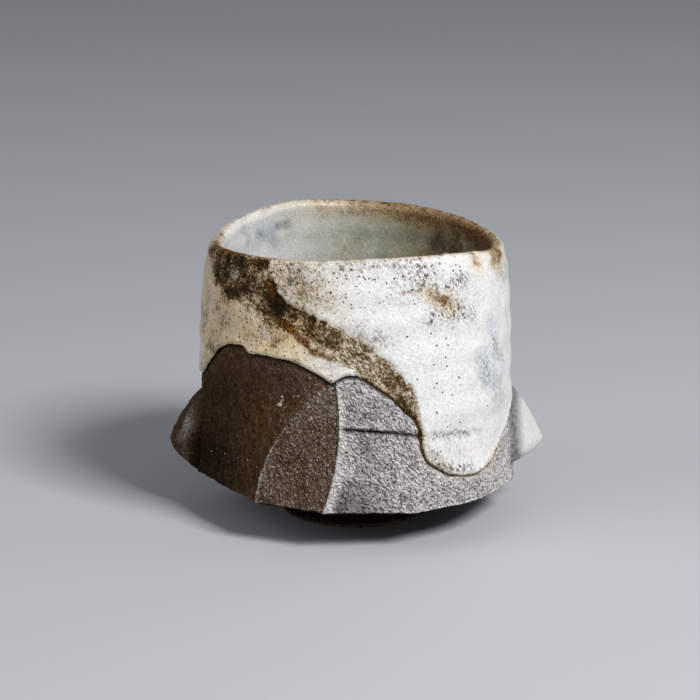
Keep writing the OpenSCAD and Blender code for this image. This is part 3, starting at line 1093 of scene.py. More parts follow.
@dataclass
class Surface:
    """What one cup's fire and knife left on its surfaces, for any place on the wall."""

    form: CupForm
    tear: float = 0.22
    crumb_mm: float = 1.3
    grit_mm: float = 0.8
    pit: float = 0.7
    pit_mm: float = 1.0
    pit_from: float = 0.36
    swell: float = 0.12
    swell_mm: float = 4.5
    stretch: float = 1.2
    lean_left: float = -66.0
    lean_right: float = -48.0
    lean_turn: float = -100.0
    groove_depth: float = 0.7
    groove_width: float = 0.42
    burr_field_r: float = 20.0
    lip_lump: float = 0.12
    crest_rust: ClosedCurve = ClosedCurve((
        (-180, 0.6), (-165, 0.95), (-150, 1.0), (-138, 0.8), (-122, 0.4), (-100, 0.25), (-60, 0.3),
        (-30, 0.55), (0, 0.6), (30, 0.65), (60, 0.7), (90, 0.6), (120, 0.3), (150, 0.15)))

    def __post_init__(self) -> None:
        """Sets up the random fields."""
        self.coarse, self.fine, self.spread = Grain(21), Grain(22), Grain(23)

    def groove(self, angle: Array, z: Array) -> Array:
        """Share of the scratched groove's depth.

        Args:
            angle: each place's angle.
            z: its height.

        Returns:
            A share for each place.
        """
        path = self.form.unrolled(*np.array(GROOVE).T)
        far, along = path_field(self.form.unrolled(angle, z), path)
        ends = ease(along / 0.06) * ease((1.0 - along) / 0.2)
        rough = self.fine.at(polar(np.full(np.shape(z), self.form.waver_r), angle, z), 1.4)
        return ends * bell(far, self.groove_width * (1.0 + 0.6 * rough + 0.5 * along))

    def beside(self, ridge: int, angle: Array, z: Array) -> Array:
        """Millimetres along the wall from a ridge to each place, above zero on its right."""
        return wrapped(angle - self.form.ridge_angle(np.array(ridge), z)) * self.form.degree

    def burrs(self, angle: Array, z: Array) -> tuple[Array, Array]:
        """Crumbs along the ridges.

        Args:
            angle: each place's angle.
            z: its height.

        Returns:
            Their height in millimetres, and the share of pale strip, which is partly wear and partly painted
            highlight.
        """
        height, strip = np.zeros(np.shape(z)), np.zeros(np.shape(z))
        waver = self.coarse.at(polar(np.full(np.shape(z), self.burr_field_r), angle, z), 2.2)
        for i, ridge in enumerate(self.form.ridges):
            if ridge.burr <= 0.0:
                continue
            off = self.beside(i, angle, z) + 0.14 * waver
            top = self.form.hip_h + ridge.rise * self.form.cut_span
            run = ease((top - z) / 3.0 + 0.4)
            down = unit((top - z) / (top - self.form.hip_h))
            wide = ridge.chamfer * (0.45 + 0.9 * down) * (1.0 + 0.6 * waver)
            shape = np.where(off < 0.0, bell(off, 0.2), unit(1.0 - off / wide) ** 1.2)
            height += run * ridge.burr * (1.0 + 0.3 * waver) * shape
            # The pale strip right of the ridge: partly wear, partly a painted highlight on the chamfer that
            # faces the light.
            shown = min(1.0, ridge.burr * 3.4) * ease((ridge.wear_and_highlight - z) / 4.0 + 0.5)
            strip += run * shown * np.where(off < -0.12, 0.0, ease((wide - off) / (0.4 * wide)))
        return height, strip

    def drag(self, angle: Array, z: Array) -> Array:
        """Places in the clay's grain, which the knife drew out a little, down to the right.

        Args:
            angle: each place's angle.
            z: its height.

        Returns:
            Points in the grain, in millimetres.
        """
        flat = self.form.unrolled(angle, z)
        lean = np.radians(np.where(wrapped(angle) < self.lean_turn, self.lean_left, self.lean_right))
        along = flat[..., 0] * np.cos(lean) + flat[..., 1] * np.sin(lean)
        across = flat[..., 1] * np.cos(lean) - flat[..., 0] * np.sin(lean)
        return np.stack([along / self.stretch, across, np.zeros_like(along)], axis=-1)

    def torn(self, angle: Array, z: Array, points: Array) -> Array:
        """Relief of the knife-torn clay.

        Args:
            angle: each place's angle.
            z: its height.
            points: the same place in space.

        Returns:
            A height for each place, in millimetres.
        """
        drag = self.drag(angle, z)
        pits = np.maximum(0.0, self.fine.at(drag, self.pit_mm) - self.pit_from)
        crumbs = self.spread.at(drag, self.crumb_mm) + 0.75 * self.coarse.at(drag, self.grit_mm)
        swell = self.coarse.octaves(points, self.swell_mm, 2)
        return self.tear * crumbs - self.pit * pits + self.swell * swell

    def thinness(self, angle: Array, z: Array, points: Array) -> Array:
        """Share of thinness in the glaze's streaks.

        Args:
            angle: each place's angle.
            z: its height.
            points: the same place in space.

        Returns:
            A share for each place.
        """
        waver = self.coarse.octaves(points, 3.4, 3) + 0.8 * self.fine.at(points, 1.3)
        a = wrapped(angle)
        return np.maximum(FRONT_BAND.share(a, z, waver), BACK_BAND.share(a, z, waver))

    def stains(self, angle: Array, z: Array, points: Array, strokes: Strokes = STAINS) -> dict[str, Array]:
        """Marks of the colours that the fire left in the glaze.

        Args:
            angle: each place's angle.
            z: its height.
            points: the same place in space.
            strokes: the strokes, by the mark that carries them.

        Returns:
            The marks by name.
        """
        fields = {kind.value: np.zeros(np.shape(z)) for kind in StainKind}
        rough = 1.0 + 0.45 * self.spread.octaves(points, 2.6, 3)
        places = self.form.unrolled(angle, z)
        for kind, group in strokes.items():
            for stain in group:
                far, _ = path_field(places, self.form.unrolled(*np.array(stain.path, dtype=float).T))
                fields[kind.value] += stain.strength * bell(far, stain.width * rough)
        return {name: unit(value) for name, value in fields.items()}

    def lip_points(self, turn: Array, out: float) -> Array:
        """Rows of points on the half round lip.

        Args:
            turn: angle over the lip for each row, 0 outside, 90 at the crest and 180 inside.
            out: thickness of the glaze there.

        Returns:
            Points for each row and column.
        """
        form = self.form
        z = form.lip_centre()
        angle = form.column_angle(z)
        ring = form.clay_r(z) - form.lip_t / 2
        lumps = self.lip_lump * self.coarse.octaves(polar(ring, angle, z), 4.0, 3)
        reach = form.lip_t / 2 + out + lumps
        t = np.radians(turn)
        return polar(ring + reach * np.cos(t), angle, z + reach * np.sin(t))

    def lip_marks(self, points: Array) -> dict[str, Any]:
        """Marks along the lip's crest, where the glaze ran thin over the clay.

        Args:
            points: rows of points on the lip.

        Returns:
            The marks by name.
        """
        cloud = self.spread.octaves(points, 2.4, 3)
        brown = self.crest_rust.at(angle_of(points))
        return {"cover": unit(0.9 - 0.4 * brown + 0.3 * cloud), "rust": unit(brown + 0.6 * cloud - 0.15),
                "cream": unit(0.1 + 0.9 * brown), "blue": 0.0, "ash": 0.0, "celadon": 0.0, "spots": 0.5}


def hand_in(piece: Object, slot: str, *nodes: str) -> None:
    """Ties a finished piece to the cup.

    Args:
        piece: the mesh object.
        slot: name of the material slot for its finish; not used.
        nodes: the CAD nodes that it stands for.
    """
    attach(piece, ROOT)
    if nodes:
        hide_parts(*nodes)
    triangles = sum(len(face.vertices) - 2 for face in piece.data.polygons)
    LOG.info("%s: %d triangles", piece.name, triangles)


def plain_mesh(piece: Object) -> None:
    """Turns what a piece's modifiers give into its own mesh, and takes the modifiers off.

    Args:
        piece: the mesh object.
    """
    shown = piece.evaluated_get(bpy.context.evaluated_depsgraph_get())
    mesh = bpy.data.meshes.new_from_object(shown)
    piece.modifiers.clear()
    draft, piece.data = piece.data, mesh
    mesh.name = piece.name
    bpy.data.meshes.remove(draft)


@dataclass
class ClayBody:
    """The cup's clay: bare and torn below the glaze's edge, plain and hidden under the glaze.

    Attributes:
        hem: how far the bare clay's rows go on above the glaze's edge.
        sunk: how far the clay keeps below its surface under the glaze.
        warmth: share of brown after each ridge.
        sand_and_glint: share of pale specks after each ridge, partly white sand and partly painted glints,
            most on the facets that face the key light.
        ring_mm: spacing of the turning lines underneath.
        recess: how much the recess inside the foot ring rises at the axis.
        brown_side: angles of the brown facets in front.
        grey_side: angles of the grey facets in front.
        run_side: angles of the clay round the glaze's long run.
    """

    form: CupForm
    surface: Surface
    bare_rows: int = 106
    under_rows: int = 24
    hem: float = 1.2
    sunk: float = 0.3
    warmth: tuple[float, ...] = (1.03, 0.93, 0.04, 0.05, 0.06, 0.45, 0.82, 0.94, 1.0)
    sand_and_glint: tuple[float, ...] = (0.04, 0.23, 0.85, 0.85, 0.6, 0.15, 0.15, 0.15, 0.05)
    ring_mm: float = 2.7
    ring_depth: float = 0.10
    recess: float = 0.2
    recess_r: float = 15.0
    recess_rows: tuple[float, ...] = (13.0, 11.0, 9.0, 7.0, 5.0, 3.0, 1.2)
    brown_side: Span = Span(-176.0, 8.0, -98.0, 5.0)
    grey_side: Span = Span(-100.0, 4.0, -8.0, 4.0)
    run_side: Span = Span(-90.0, 12.0, -14.0, 10.0)

    def bare(self) -> tuple[Array, dict[str, Array], Array]:
        """Torn clay, from just above the glaze's edge down to the hip.

        Returns:
            Rows of points, their marks, and their places in the clay's grain.
        """
        form, surface = self.form, self.surface
        z = mix(form.edge + self.hem, form.hip, np.linspace(0.0, 1.0, self.bare_rows)[:, None])
        angle = form.column_angle(z)
        flat = polar(form.clay_r(z), angle, z)
        far = form.edge_distance(angle, z)
        height, strip = surface.burrs(angle, z)
        groove = surface.groove(angle, z)
        line = bell(far, 0.6)
        below = ease((form.glaze_line(angle) - z) / 0.25 + 0.4)
        out = surface.torn(angle, z, flat) + height - surface.groove_depth * groove
        out = out - line * (0.10 + 0.28 * self.brown_side.share(wrapped(angle)))
        out = below * out - (1.0 - below) * self.sunk
        patch = surface.spread.octaves(flat, 6.0, 2)
        crumble = 0.85 + 0.5 * surface.fine.at(flat, 0.9)
        marks = self.tones(angle, z, patch, far, strip * crumble)
        # The dark mark: painted shade low on the left and middle facets, the darker scratched groove, and the
        # line under the glaze's edge, partly iron in the clay and partly painted shadow.
        marks["dark"] = unit(0.95 * groove + self.shadow(wrapped(angle), z, patch) * (1.0 - strip)
                             + line * self.edge_shadow(wrapped(angle)))
        return polar(form.clay_r(z) + out, angle, z), marks, surface.drag(angle, z)

    def tones(self, angle: Array, z: Array, patch: Array, far: Array, strip: Array) -> dict[str, Array]:
        """Marks of the bare clay's colours, with painted light on the left facet's upper right.

        Args:
            angle: each place's angle.
            z: its height.
            patch: its value in a field of slow patches.
            far: its distance from the glaze's edge.
            strip: its share of a ridge's pale strip.

        Returns:
            The marks warm, pale, sand and rust.
        """
        form, turn = self.form, wrapped(angle)
        right, middle = (self.surface.beside(f.value, angle, z) for f in (Facet.RIGHT, Facet.MIDDLE))
        cusp = bell(np.hypot(right, z - 35.0), 1.6)
        grey = self.grey_side.share(turn)
        smooth = ease((turn + 40.0) / 14.0) * grey
        # Painted light: the left facet's upper right, which turns towards the light, is painted greyer and
        # lighter and gets more painted glints.
        painted_light = ease((turn + 150.0) / 40.0) * ease((z - 20.0) / 14.0)
        glints = 0.08 * painted_light * (form.k == Facet.LEFT.value)
        return {
            "warm": unit(np.array(self.warmth)[form.k] + 0.05 * patch - 0.09 * painted_light),
            # The ridges' strips are partly wear and partly painted highlight.
            "pale": unit(strip + (0.1 + 0.25 * grey) * bell(z - form.hip, 0.4)
                         + 0.75 * self.run_side.share(turn) * bell(far, 1.5) + 0.65 * smooth),
            # Pale specks: partly white sand, partly painted glints.
            "sand": unit(np.array(self.sand_and_glint)[form.k] + glints),
            "rust": unit(0.8 * bell(right + 0.35, 0.3) + 0.9 * cusp + 0.5 * grey
                         + 1.1 * bell(middle + 0.4, 0.5) * ease((z - 18.0) / 6.0)),
        }

    def shadow(self, turn: Array, z: Array, patch: Array) -> Array:
        """Painted shade on the bare clay, low on the left facets and on the middle one.

        Args:
            turn: each place's angle, from -180 to 180.
            z: its height.
            patch: its value in a field of slow patches.

        Returns:
            A share for each place.
        """
        left = ease((-124.0 - turn) / 34.0) * ease((40.0 - z) / 12.0) * (turn < 0.0)
        middle = self.grey_side.share(turn) * ease((-72.0 - turn) / 16.0)
        return ((0.45 + 0.3 * ease((22.0 - z) / 8.0)) * left
                + middle * (0.14 + 0.24 * patch + 0.4 * ease((19.0 - z) / 9.0)))

    def edge_shadow(self, turn: Array) -> Array:
        """Strength of the dark line under the glaze's edge: partly iron in the clay, partly painted shadow
        under the glaze's rolled edge.
        """
        return mix(0.1, 0.95, ease((-80.0 - turn) / 10.0) * (turn < 0.0))

    def under(self, hip_ring: Array) -> tuple[Array, dict[str, float]]:
        """Turned underside, from the hip's edge in to the axis.

        Args:
            hip_ring: the last row of the bare clay.

        Returns:
            Rows of points, and their marks.
        """
        form = self.form
        start = np.hypot(hip_ring[:, 0], hip_ring[:, 1])
        angle = angle_of(hip_ring)
        u = np.linspace(0.0, 1.0, self.under_rows)[1:, None]
        r = mix(start, form.foot_d / 2, u)
        z = mix(hip_ring[:, 2], form.foot_h, u) - 4.0 * u * (1.0 - u) * form.under_bulge
        inner_r = np.array(self.recess_rows)[:, None] * np.ones(form.count)
        r = np.concatenate([r, inner_r])
        z = np.concatenate([z, form.foot_h + self.recess * (1.0 - inner_r / self.recess_r)])
        flat = polar(r, angle, z)
        turned = 2.0 * math.pi * r / self.ring_mm + 0.7 * np.sin(np.radians(angle))
        lines = self.ring_depth * np.sin(turned)
        z = z + ease((start - r) / 1.5) * (lines + 0.5 * self.surface.torn(angle, r, flat))
        # The underside is painted almost black: painted shade under the cup.
        return polar(r, angle, z), {"warm": 1.0, "dark": 0.92}

    def hidden(self) -> Array:
        """Plain clay under the glazes, from the floor up the inside, over the lip and down the outside.

        Returns:
            Rows of points.
        """
        form = self.form
        centre = form.lip_centre()
        lip_angle = form.lip_angle()
        bowl_top = form.floor_h + form.bowl_h
        bowl_r = form.round_r(lip_angle, np.full(form.count, bowl_top)) - form.wall_t + self.sunk
        rows = []
        for turn in (75.0, 50.0, 25.0, 0.0):
            c, s = (abs(f(math.radians(turn))) ** form.bowl_power for f in (math.cos, math.sin))
            z = np.full(form.count, bowl_top - form.bowl_h * s - self.sunk)
            rows.append(polar(bowl_r * c, lip_angle, z))
        for share in (0.35, 0.7):
            z = mix(bowl_top, centre, share)
            r = form.round_r(lip_angle, z) - mix(form.wall_t, form.lip_t, ease(share)) + self.sunk
            rows.append(polar(r, lip_angle, z))
        reach = form.lip_t / 2 - self.sunk
        for turn in (180.0, 135.0, 90.0, 45.0, 0.0):
            c, s = math.cos(math.radians(turn)), math.sin(math.radians(turn))
            r = form.clay_r(centre) - form.lip_t / 2 + reach * c
            rows.append(polar(r, form.column_angle(centre), centre + reach * s))
        for share in (0.2, 0.4, 0.6, 0.8, 0.93):
            z = mix(centre, form.edge + self.hem, share)
            rows.append(polar(form.clay_r(z) - self.sunk, form.column_angle(z), z))
        return np.stack(rows)

    def build(self, finish: Material) -> Object:
        """Makes the piece, and keeps its bare points for the sand grains.

        Args:
            finish: its material.

        Returns:
            The piece.
        """
        draft = Draft(CLAY_MARKS)
        self.points, marks, lay = self.bare()
        under, under_marks = self.under(self.points[-1])
        index = np.concatenate([draft.grid(self.hidden()), draft.grid(self.points, marks, lay),
                                draft.grid(under, under_marks)])
        draft.skin(index)
        draft.cap(index[0], (0.0, 0.0, self.form.floor_h - self.sunk), True)
        draft.cap(index[-1], (0.0, 0.0, self.form.foot_h + self.recess), False)
        return draft.make("cup_clay_body", finish)


@dataclass
class OuterGlaze:
    """Poured glaze on the outside, from its rolled lower edge up to the lip's crest.

    Attributes:
        offsets: heights of the close rows above the edge.
        bead: width of the rolled edge.
        bury: how far the edge's last row lies inside the clay.
        inset: how far the sheet's back lies inside the clay.
        lump: depth of the slow unevenness.
        lump_mm: width of its lumps.
        ripple: depth of the wheel's slow ripple.
        ripple_mm: its spacing.
        run_side: angles of the long run.
        run_left: angles of the run's left end, which has a thin fringe.
        run_right: angles of the run's right side, which ends thin and dark; its dark edge is widened there,
            partly thin brown glaze and partly painted shadow under the rolled edge.
        lip_front: angles in which the lip's brown line is narrow.
        cream_side: angles of the cream tone at the left.
        spot_side: angles in which the iron spots gather.
    """

    form: CupForm
    surface: Surface
    offsets: tuple[float, ...] = (0.0, 0.05, 0.11, 0.19, 0.29, 0.41, 0.55, 0.71, 0.9, 1.12, 1.36)
    wall_rows: int = 108
    lip_rows: int = 9
    bead: float = 0.8
    bury: float = 0.14
    inset: float = 0.4
    lump: float = 0.16
    lump_mm: float = 9.0
    ripple: float = 0.09
    ripple_mm: float = 6.3
    run_side: Span = Span(-92.0, 10.0, -12.0, 10.0)
    run_left: Span = Span(-72.0, 4.0, -38.0, 16.0)
    run_right: Span = Span(-48.0, 14.0, -8.0, 8.0)
    lip_front: Span = Span(-146.0, 20.0, -14.0, 20.0)
    cream_side: Span = Span(-180.0, 20.0, -78.0, 45.0)
    spot_side: Span = Span(-135.0, 12.0, -30.0, 30.0)

    def heights(self) -> Array:
        """Heights of the wall's rows, from the lip down to the glaze's edge.

        Returns:
            Rows with one height for each column.
        """
        form = self.form
        last = self.offsets[-1]
        t = np.linspace(0.0, 1.0, self.wall_rows, endpoint=False)[:, None]
        wall = mix(form.lip_centre(), form.edge + last, t)
        return np.concatenate([wall, form.edge + np.array(self.offsets[::-1])[:, None]])

    def marks(self, angle: Array, z: Array, points: Array, far: Array, thin: Array) -> dict[str, Array]:
        """Marks of the glaze's colours on the wall.

        Args:
            angle: each place's angle.
            z: its height.
            points: the same place in space.
            far: its distance from the glaze's edge.
            thin: its share of thinness.

        Returns:
            The marks by name.
        """
        turn = wrapped(angle)
        marks = self.surface.stains(angle, z, points)
        cloud = self.surface.spread.octaves(points, 4.0, 3)
        rough = 1.0 + 0.7 * self.surface.fine.at(points, 1.2)
        run, aside, left, near = (
            span.share(turn) for span in (self.run_side, self.run_right, self.cream_side, self.spot_side))
        # The dark edge line is wider on the run's right side: partly thin brown glaze, partly painted shadow.
        edge = bell(far, rough * mix(0.42, 1.1, aside)) * (0.12 + 0.7 * run)
        fringe = self.run_left.share(turn) * ease((27.0 - z) / 4.0) * bell(far, 1.9 * rough)
        hem = ease((-92.0 - turn) / 6.0) * (turn < 0.0) * bell(far, 2.6 * rough)
        depth = self.form.lip_centre() + self.form.lip_t / 2 - z
        lip = bell(depth, mix(1.4, 0.9, self.lip_front.share(turn)))
        brown = self.surface.crest_rust.at(angle)
        cover = (1.04 - 0.87 * thin - (0.55 + 0.4 * aside) * edge - 0.26 * lip * (1.0 + 0.8 * cloud)
                 - 0.1 * marks["ash"] - 0.05 * marks["blue"] - 0.25 * marks["rust"]
                 - 0.08 * marks["cream"] * (1.0 + 1.5 * cloud) - 0.32 * left * cloud
                 - 0.3 * fringe - 0.08 * hem)
        marks["cover"] = np.clip(cover, 0.0, 1.1)
        marks["rust"] = unit(marks["rust"] + 0.7 * edge * run + 0.7 * lip * brown)
        marks["ash"] = unit(marks["ash"] + 0.25 * np.maximum(0.0, cloud) + 0.4 * fringe)
        marks["cream"] = unit(marks["cream"] + 0.34 * left + 0.5 * left * ease((-128.0 - turn) / 25.0)
                              + 0.6 * lip * brown)
        high = ease((z - 46.0) / 8.0)
        rim = bell(depth - 2.6, 2.2) * near
        marks["spots"] = unit(0.25 + 0.7 * high * near + 0.5 * rim + 0.75 * left * (1.0 - high) - thin)
        marks["celadon"] = np.zeros(np.shape(z))
        return marks

    def wall(self) -> tuple[Array, dict[str, Array]]:
        """Glazed wall, from the lip down.

        Returns:
            Rows of points, and their marks.
        """
        form = self.form
        z = self.heights()
        angle = form.column_angle(z)
        base = form.clay_r(z)
        flat = polar(base, angle, z)
        far = form.edge_distance(angle, z)
        thin = self.surface.thinness(angle, z, flat)
        depth = form.lip_centre() - z
        coat = mix(form.lip_glaze_t, form.glaze_t, ease(depth / form.lip_glaze_h)) * (1.0 - 0.68 * thin)
        coat = coat * (1.0 + 0.3 * bell(far - 0.9, 0.8))
        profile = np.sqrt(1.0 - (1.0 - unit(far / self.bead)) ** 2)
        out = (coat + self.bury) * profile - self.bury
        lumps = self.lump * self.surface.coarse.octaves(flat, self.lump_mm, 3)
        phase = 2.0 * math.pi * z / self.ripple_mm + 1.4 * self.surface.spread.at(flat, 22.0)
        wave = self.ripple * np.sin(phase) * ease(depth / 6.0)
        grit = 0.55 * thin * self.surface.torn(angle, z, flat)
        peel = (0.05 + 0.12 * bell(far - 1.6, 1.4)) * self.surface.fine.at(flat, 1.7)
        out = out + profile * (lumps + wave + grit + peel - 0.16 * self.surface.groove(angle, z))
        return polar(base + out, angle, z), self.marks(angle, z, flat, far, thin)

    def lip(self, wall: Array, wall_marks: dict[str, Array]) -> tuple[Array, dict[str, Array]]:
        """Outer half of the lip, from its crest down to the wall's first row.

        Args:
            wall: the wall's points.
            wall_marks: their marks.

        Returns:
            Rows of points, and their marks.
        """
        form = self.form
        turn = np.linspace(90.0, 0.0, self.lip_rows, endpoint=False)[:, None]
        points = self.surface.lip_points(turn, form.lip_glaze_t)
        share = ease(turn / 90.0)
        crown = ease((turn - 35.0) / 55.0)
        gap = wall[0] - self.surface.lip_points(np.zeros((1, 1)), form.lip_glaze_t)[0]
        marks = {name: np.repeat(value[:1], self.lip_rows, axis=0) for name, value in wall_marks.items()}
        for name, value in self.surface.lip_marks(points).items():
            marks[name] = mix(marks[name], value, crown)
        return points + gap * (1.0 - share)[..., None], marks

    def build(self, finish: Material) -> Object:
        """Makes the piece, and keeps its visible points and marks for the iron spots.

        Args:
            finish: its material.

        Returns:
            The piece.
        """
        form = self.form
        draft = Draft(GLAZE_MARKS)
        self.points, self.shown = self.wall()
        lip, lip_shown = self.lip(self.points, self.shown)
        sheet = []
        for share in (1.0, 0.9, 0.7, 0.45, 0.2, 0.0):
            z = mix(form.lip_centre(), form.edge, share)
            sheet.append(polar(form.clay_r(z) - self.inset, form.column_angle(z), z))
        for turn in (50.0, 90.0):
            sheet.append(self.surface.lip_points(np.full((1, 1), turn), -self.inset)[0])
        index = np.concatenate([draft.grid(lip, lip_shown), draft.grid(self.points, self.shown),
                                draft.grid(np.stack(sheet))])
        draft.skin(np.concatenate([index, index[:1]]))
        return draft.make("cup_outer_glaze", finish)


@dataclass
class InnerGlaze:
    """Glaze pooled inside the cup, from the lip's crest down to the floor.

    Attributes:
        bury: how far the sheet's back lies inside the clay.
        back_step: wall rows to one row of the sheet's back.
        lump: depth of the slow unevenness.
        lump_mm: width of its lumps.
        ripple: depth of the wheel's slow ripple.
        ripple_mm: its spacing.
        lip_rust: share of rust round the cup, just under the lip.
        lip_thin: how far the glaze ran thin there.
        cover: how well the glaze covers the clay round the cup; it falls towards the inside right, which
            darkens it there, partly thin brown glaze and partly painted shade.
        green: share of the grey green tone.
        white_at: middle angle of the white part.
        white: how far it goes each way from there.
    """

    form: CupForm
    surface: Surface
    lip_rows: int = 9
    wall_rows: int = 44
    bowl_rows: int = 34
    lip_rust: ClosedCurve = ClosedCurve((
        (-180, 0.35), (-150, 0.3), (-100, 0.3), (-60, 0.4), (-30, 0.6), (0, 0.95), (14, 1.0), (26, 0.85),
        (40, 0.62), (60, 0.55), (90, 0.42), (120, 0.22), (150, 0.08)))
    lip_thin: ClosedCurve = ClosedCurve((
        (-180, 0.3), (-90, 0.2), (0, 0.0), (24, 0.0), (38, 0.8), (60, 1.0), (100, 1.0), (150, 0.6)))
    cover: ClosedCurve = ClosedCurve((
        (-180, 1.0), (-150, 0.9), (-100, 0.75), (-60, 0.6), (-30, 0.5), (0, 0.48), (20, 0.5), (40, 0.57),
        (60, 0.66), (90, 0.86), (120, 1.0), (150, 1.12)))
    green: ClosedCurve = ClosedCurve((
        (-180, 0.05), (-150, 0.2), (-100, 0.7), (-60, 0.8), (0, 0.7), (40, 0.9), (70, 1.0), (95, 0.8),
        (120, 0.3), (150, 0.02)))
    white_at: float = 150.0
    white: Span = Span(-60.0, 40.0, 60.0, 40.0)
    bury: float = 0.1
    back_step: int = 6
    lump: float = 0.18
    lump_mm: float = 9.0
    ripple: float = 0.09
    ripple_mm: float = 5.2

    def marks(self, angle: Array, z: Array, points: Array) -> dict[str, Array]:
        """Marks of the glaze's colours inside the cup.

        Args:
            angle: each place's angle.
            z: its height.
            points: the same place in space.

        Returns:
            The marks by name.
        """
        cloud = self.surface.spread.octaves(points, 6.0, 4)
        low = ease((34.0 - z) / 18.0)
        depth = self.form.lip_centre() + self.form.lip_t / 2 - z
        lip = bell(depth, 3.2)
        cover = mix(self.cover.at(angle), 0.86, low) + 0.2 * cloud - 0.17 * lip * self.lip_thin.at(angle)
        white = self.white.share(wrapped(angle - self.white_at))
        blue = white * (0.1 + 0.4 * np.maximum(0.0, self.surface.coarse.octaves(points, 6.0, 3)))
        warm = ease((80.0 - np.abs(wrapped(angle - 10.0))) / 40.0)
        rust = self.lip_rust.at(angle) * bell(depth - 1.0, 3.0) * (0.75 + 0.6 * cloud)
        strokes = self.surface.stains(angle, z, points, INSIDE_STAINS)
        return {
            "cover": np.clip(cover, 0.0, 1.12),
            "cream": unit((lip * 0.8 + 0.5 * warm) * (1.0 - white)),
            "rust": unit(rust + strokes["rust"]),
            "blue": unit(0.9 * blue * (1.0 - lip) + strokes["blue"]),
            "ash": unit(0.2 * cloud + strokes["ash"]),
            "celadon": unit(mix(self.green.at(angle), 0.95, low) * (1.0 - 0.7 * lip)),
            "spots": np.full(np.shape(z), 0.25),
        }

    def sheet(self, coat: float) -> tuple[Array, Array, Array]:
        """Inside of the cup, from the floor up to the lip.

        Args:
            coat: thickness of the glaze over the clay.

        Returns:
            Rows of points, and their angles and heights.
        """
        form = self.form
        centre = form.lip_centre()
        angle = form.lip_angle()
        top = form.floor_h + form.bowl_h
        t = np.radians(np.linspace(88.0, 0.0, self.bowl_rows, endpoint=False))[:, None]
        bowl_r = form.round_r(angle, np.full(form.count, top)) - form.wall_t - coat
        bowl_r = bowl_r * np.cos(t) ** form.bowl_power
        bowl_z = top - (form.bowl_h - coat) * np.sin(t) ** form.bowl_power
        share = np.linspace(0.0, 1.0, self.wall_rows)[:, None]
        wall_z = mix(top, centre, share)
        near_lip = ease((wall_z - centre + form.lip_glaze_h) / form.lip_glaze_h)
        thin = mix(coat, min(coat, form.lip_glaze_t), near_lip)
        wall_r = form.round_r(angle, wall_z) - mix(form.wall_t, form.lip_t, ease(share)) - thin
        r = np.concatenate([bowl_r, wall_r])
        z = np.concatenate([np.broadcast_to(bowl_z, bowl_r.shape), wall_z])
        return polar(r, angle, z), np.broadcast_to(angle, z.shape), z

    def build(self, finish: Material) -> Object:
        """Makes the piece.

        Args:
            finish: its material.

        Returns:
            The piece.
        """
        form = self.form
        draft = Draft(GLAZE_MARKS)
        points, angle, z = self.sheet(form.liner_t)
        marks = self.marks(angle, z, points)
        r = np.hypot(points[..., 0], points[..., 1])
        lumps = (self.lump * self.surface.coarse.octaves(points, self.lump_mm, 2)
                 + self.ripple * np.sin(2.0 * math.pi * z / self.ripple_mm))
        fade = ease((form.lip_centre() - z) / 5.0) * ease(r / 12.0)
        points = polar(r - lumps * fade, angle, z)
        turn = np.linspace(180.0, 90.0, self.lip_rows + 1)[1:, None]
        lip = self.surface.lip_points(turn, form.lip_glaze_t)
        crest = self.surface.lip_marks(lip)
        share = ease((180.0 - turn) / 90.0)
        lip_shown = {name: mix(marks[name][-1:], crest[name], share) for name in GLAZE_MARKS}
        back, _, _ = self.sheet(-self.bury)
        rows = [draft.grid(points, marks), draft.grid(lip, lip_shown)]
        for over in (90.0, 135.0):
            rows.append(draft.grid(self.surface.lip_points(np.full((1, 1), over), -self.bury)))
        rows.append(draft.grid(back[::-self.back_step]))
        index = np.concatenate(rows)
        draft.skin(index)
        draft.cap(index[0], (0.0, 0.0, form.floor_h + form.liner_t), True)
        draft.cap(index[-1], (0.0, 0.0, form.floor_h - self.bury), False)
        return draft.make("cup_inner_glaze", finish)


@dataclass(frozen=True)
class LugOutline:
    """Place and outline of a lug.

    Attributes:
        facet: the strip of wall that it grows out of.
        top: height of its upper end.
        tip: height of its point.
        foot: height of its lower end.
        side_round: 0 for straight sides, 1 for round ones.
        lower_round: the same for its lower side.
    """

    facet: Facet
    top: float
    tip: float
    foot: float
    side_round: float
    lower_round: float


LEFT_LUG = LugOutline(Facet.LEFT_LUG, 25.0, 14.5, 9.1, 0.5, 0.85)
RIGHT_LUG = LugOutline(Facet.RIGHT_LUG, 25.8, 14.5, 10.7, 0.4, 1.0)


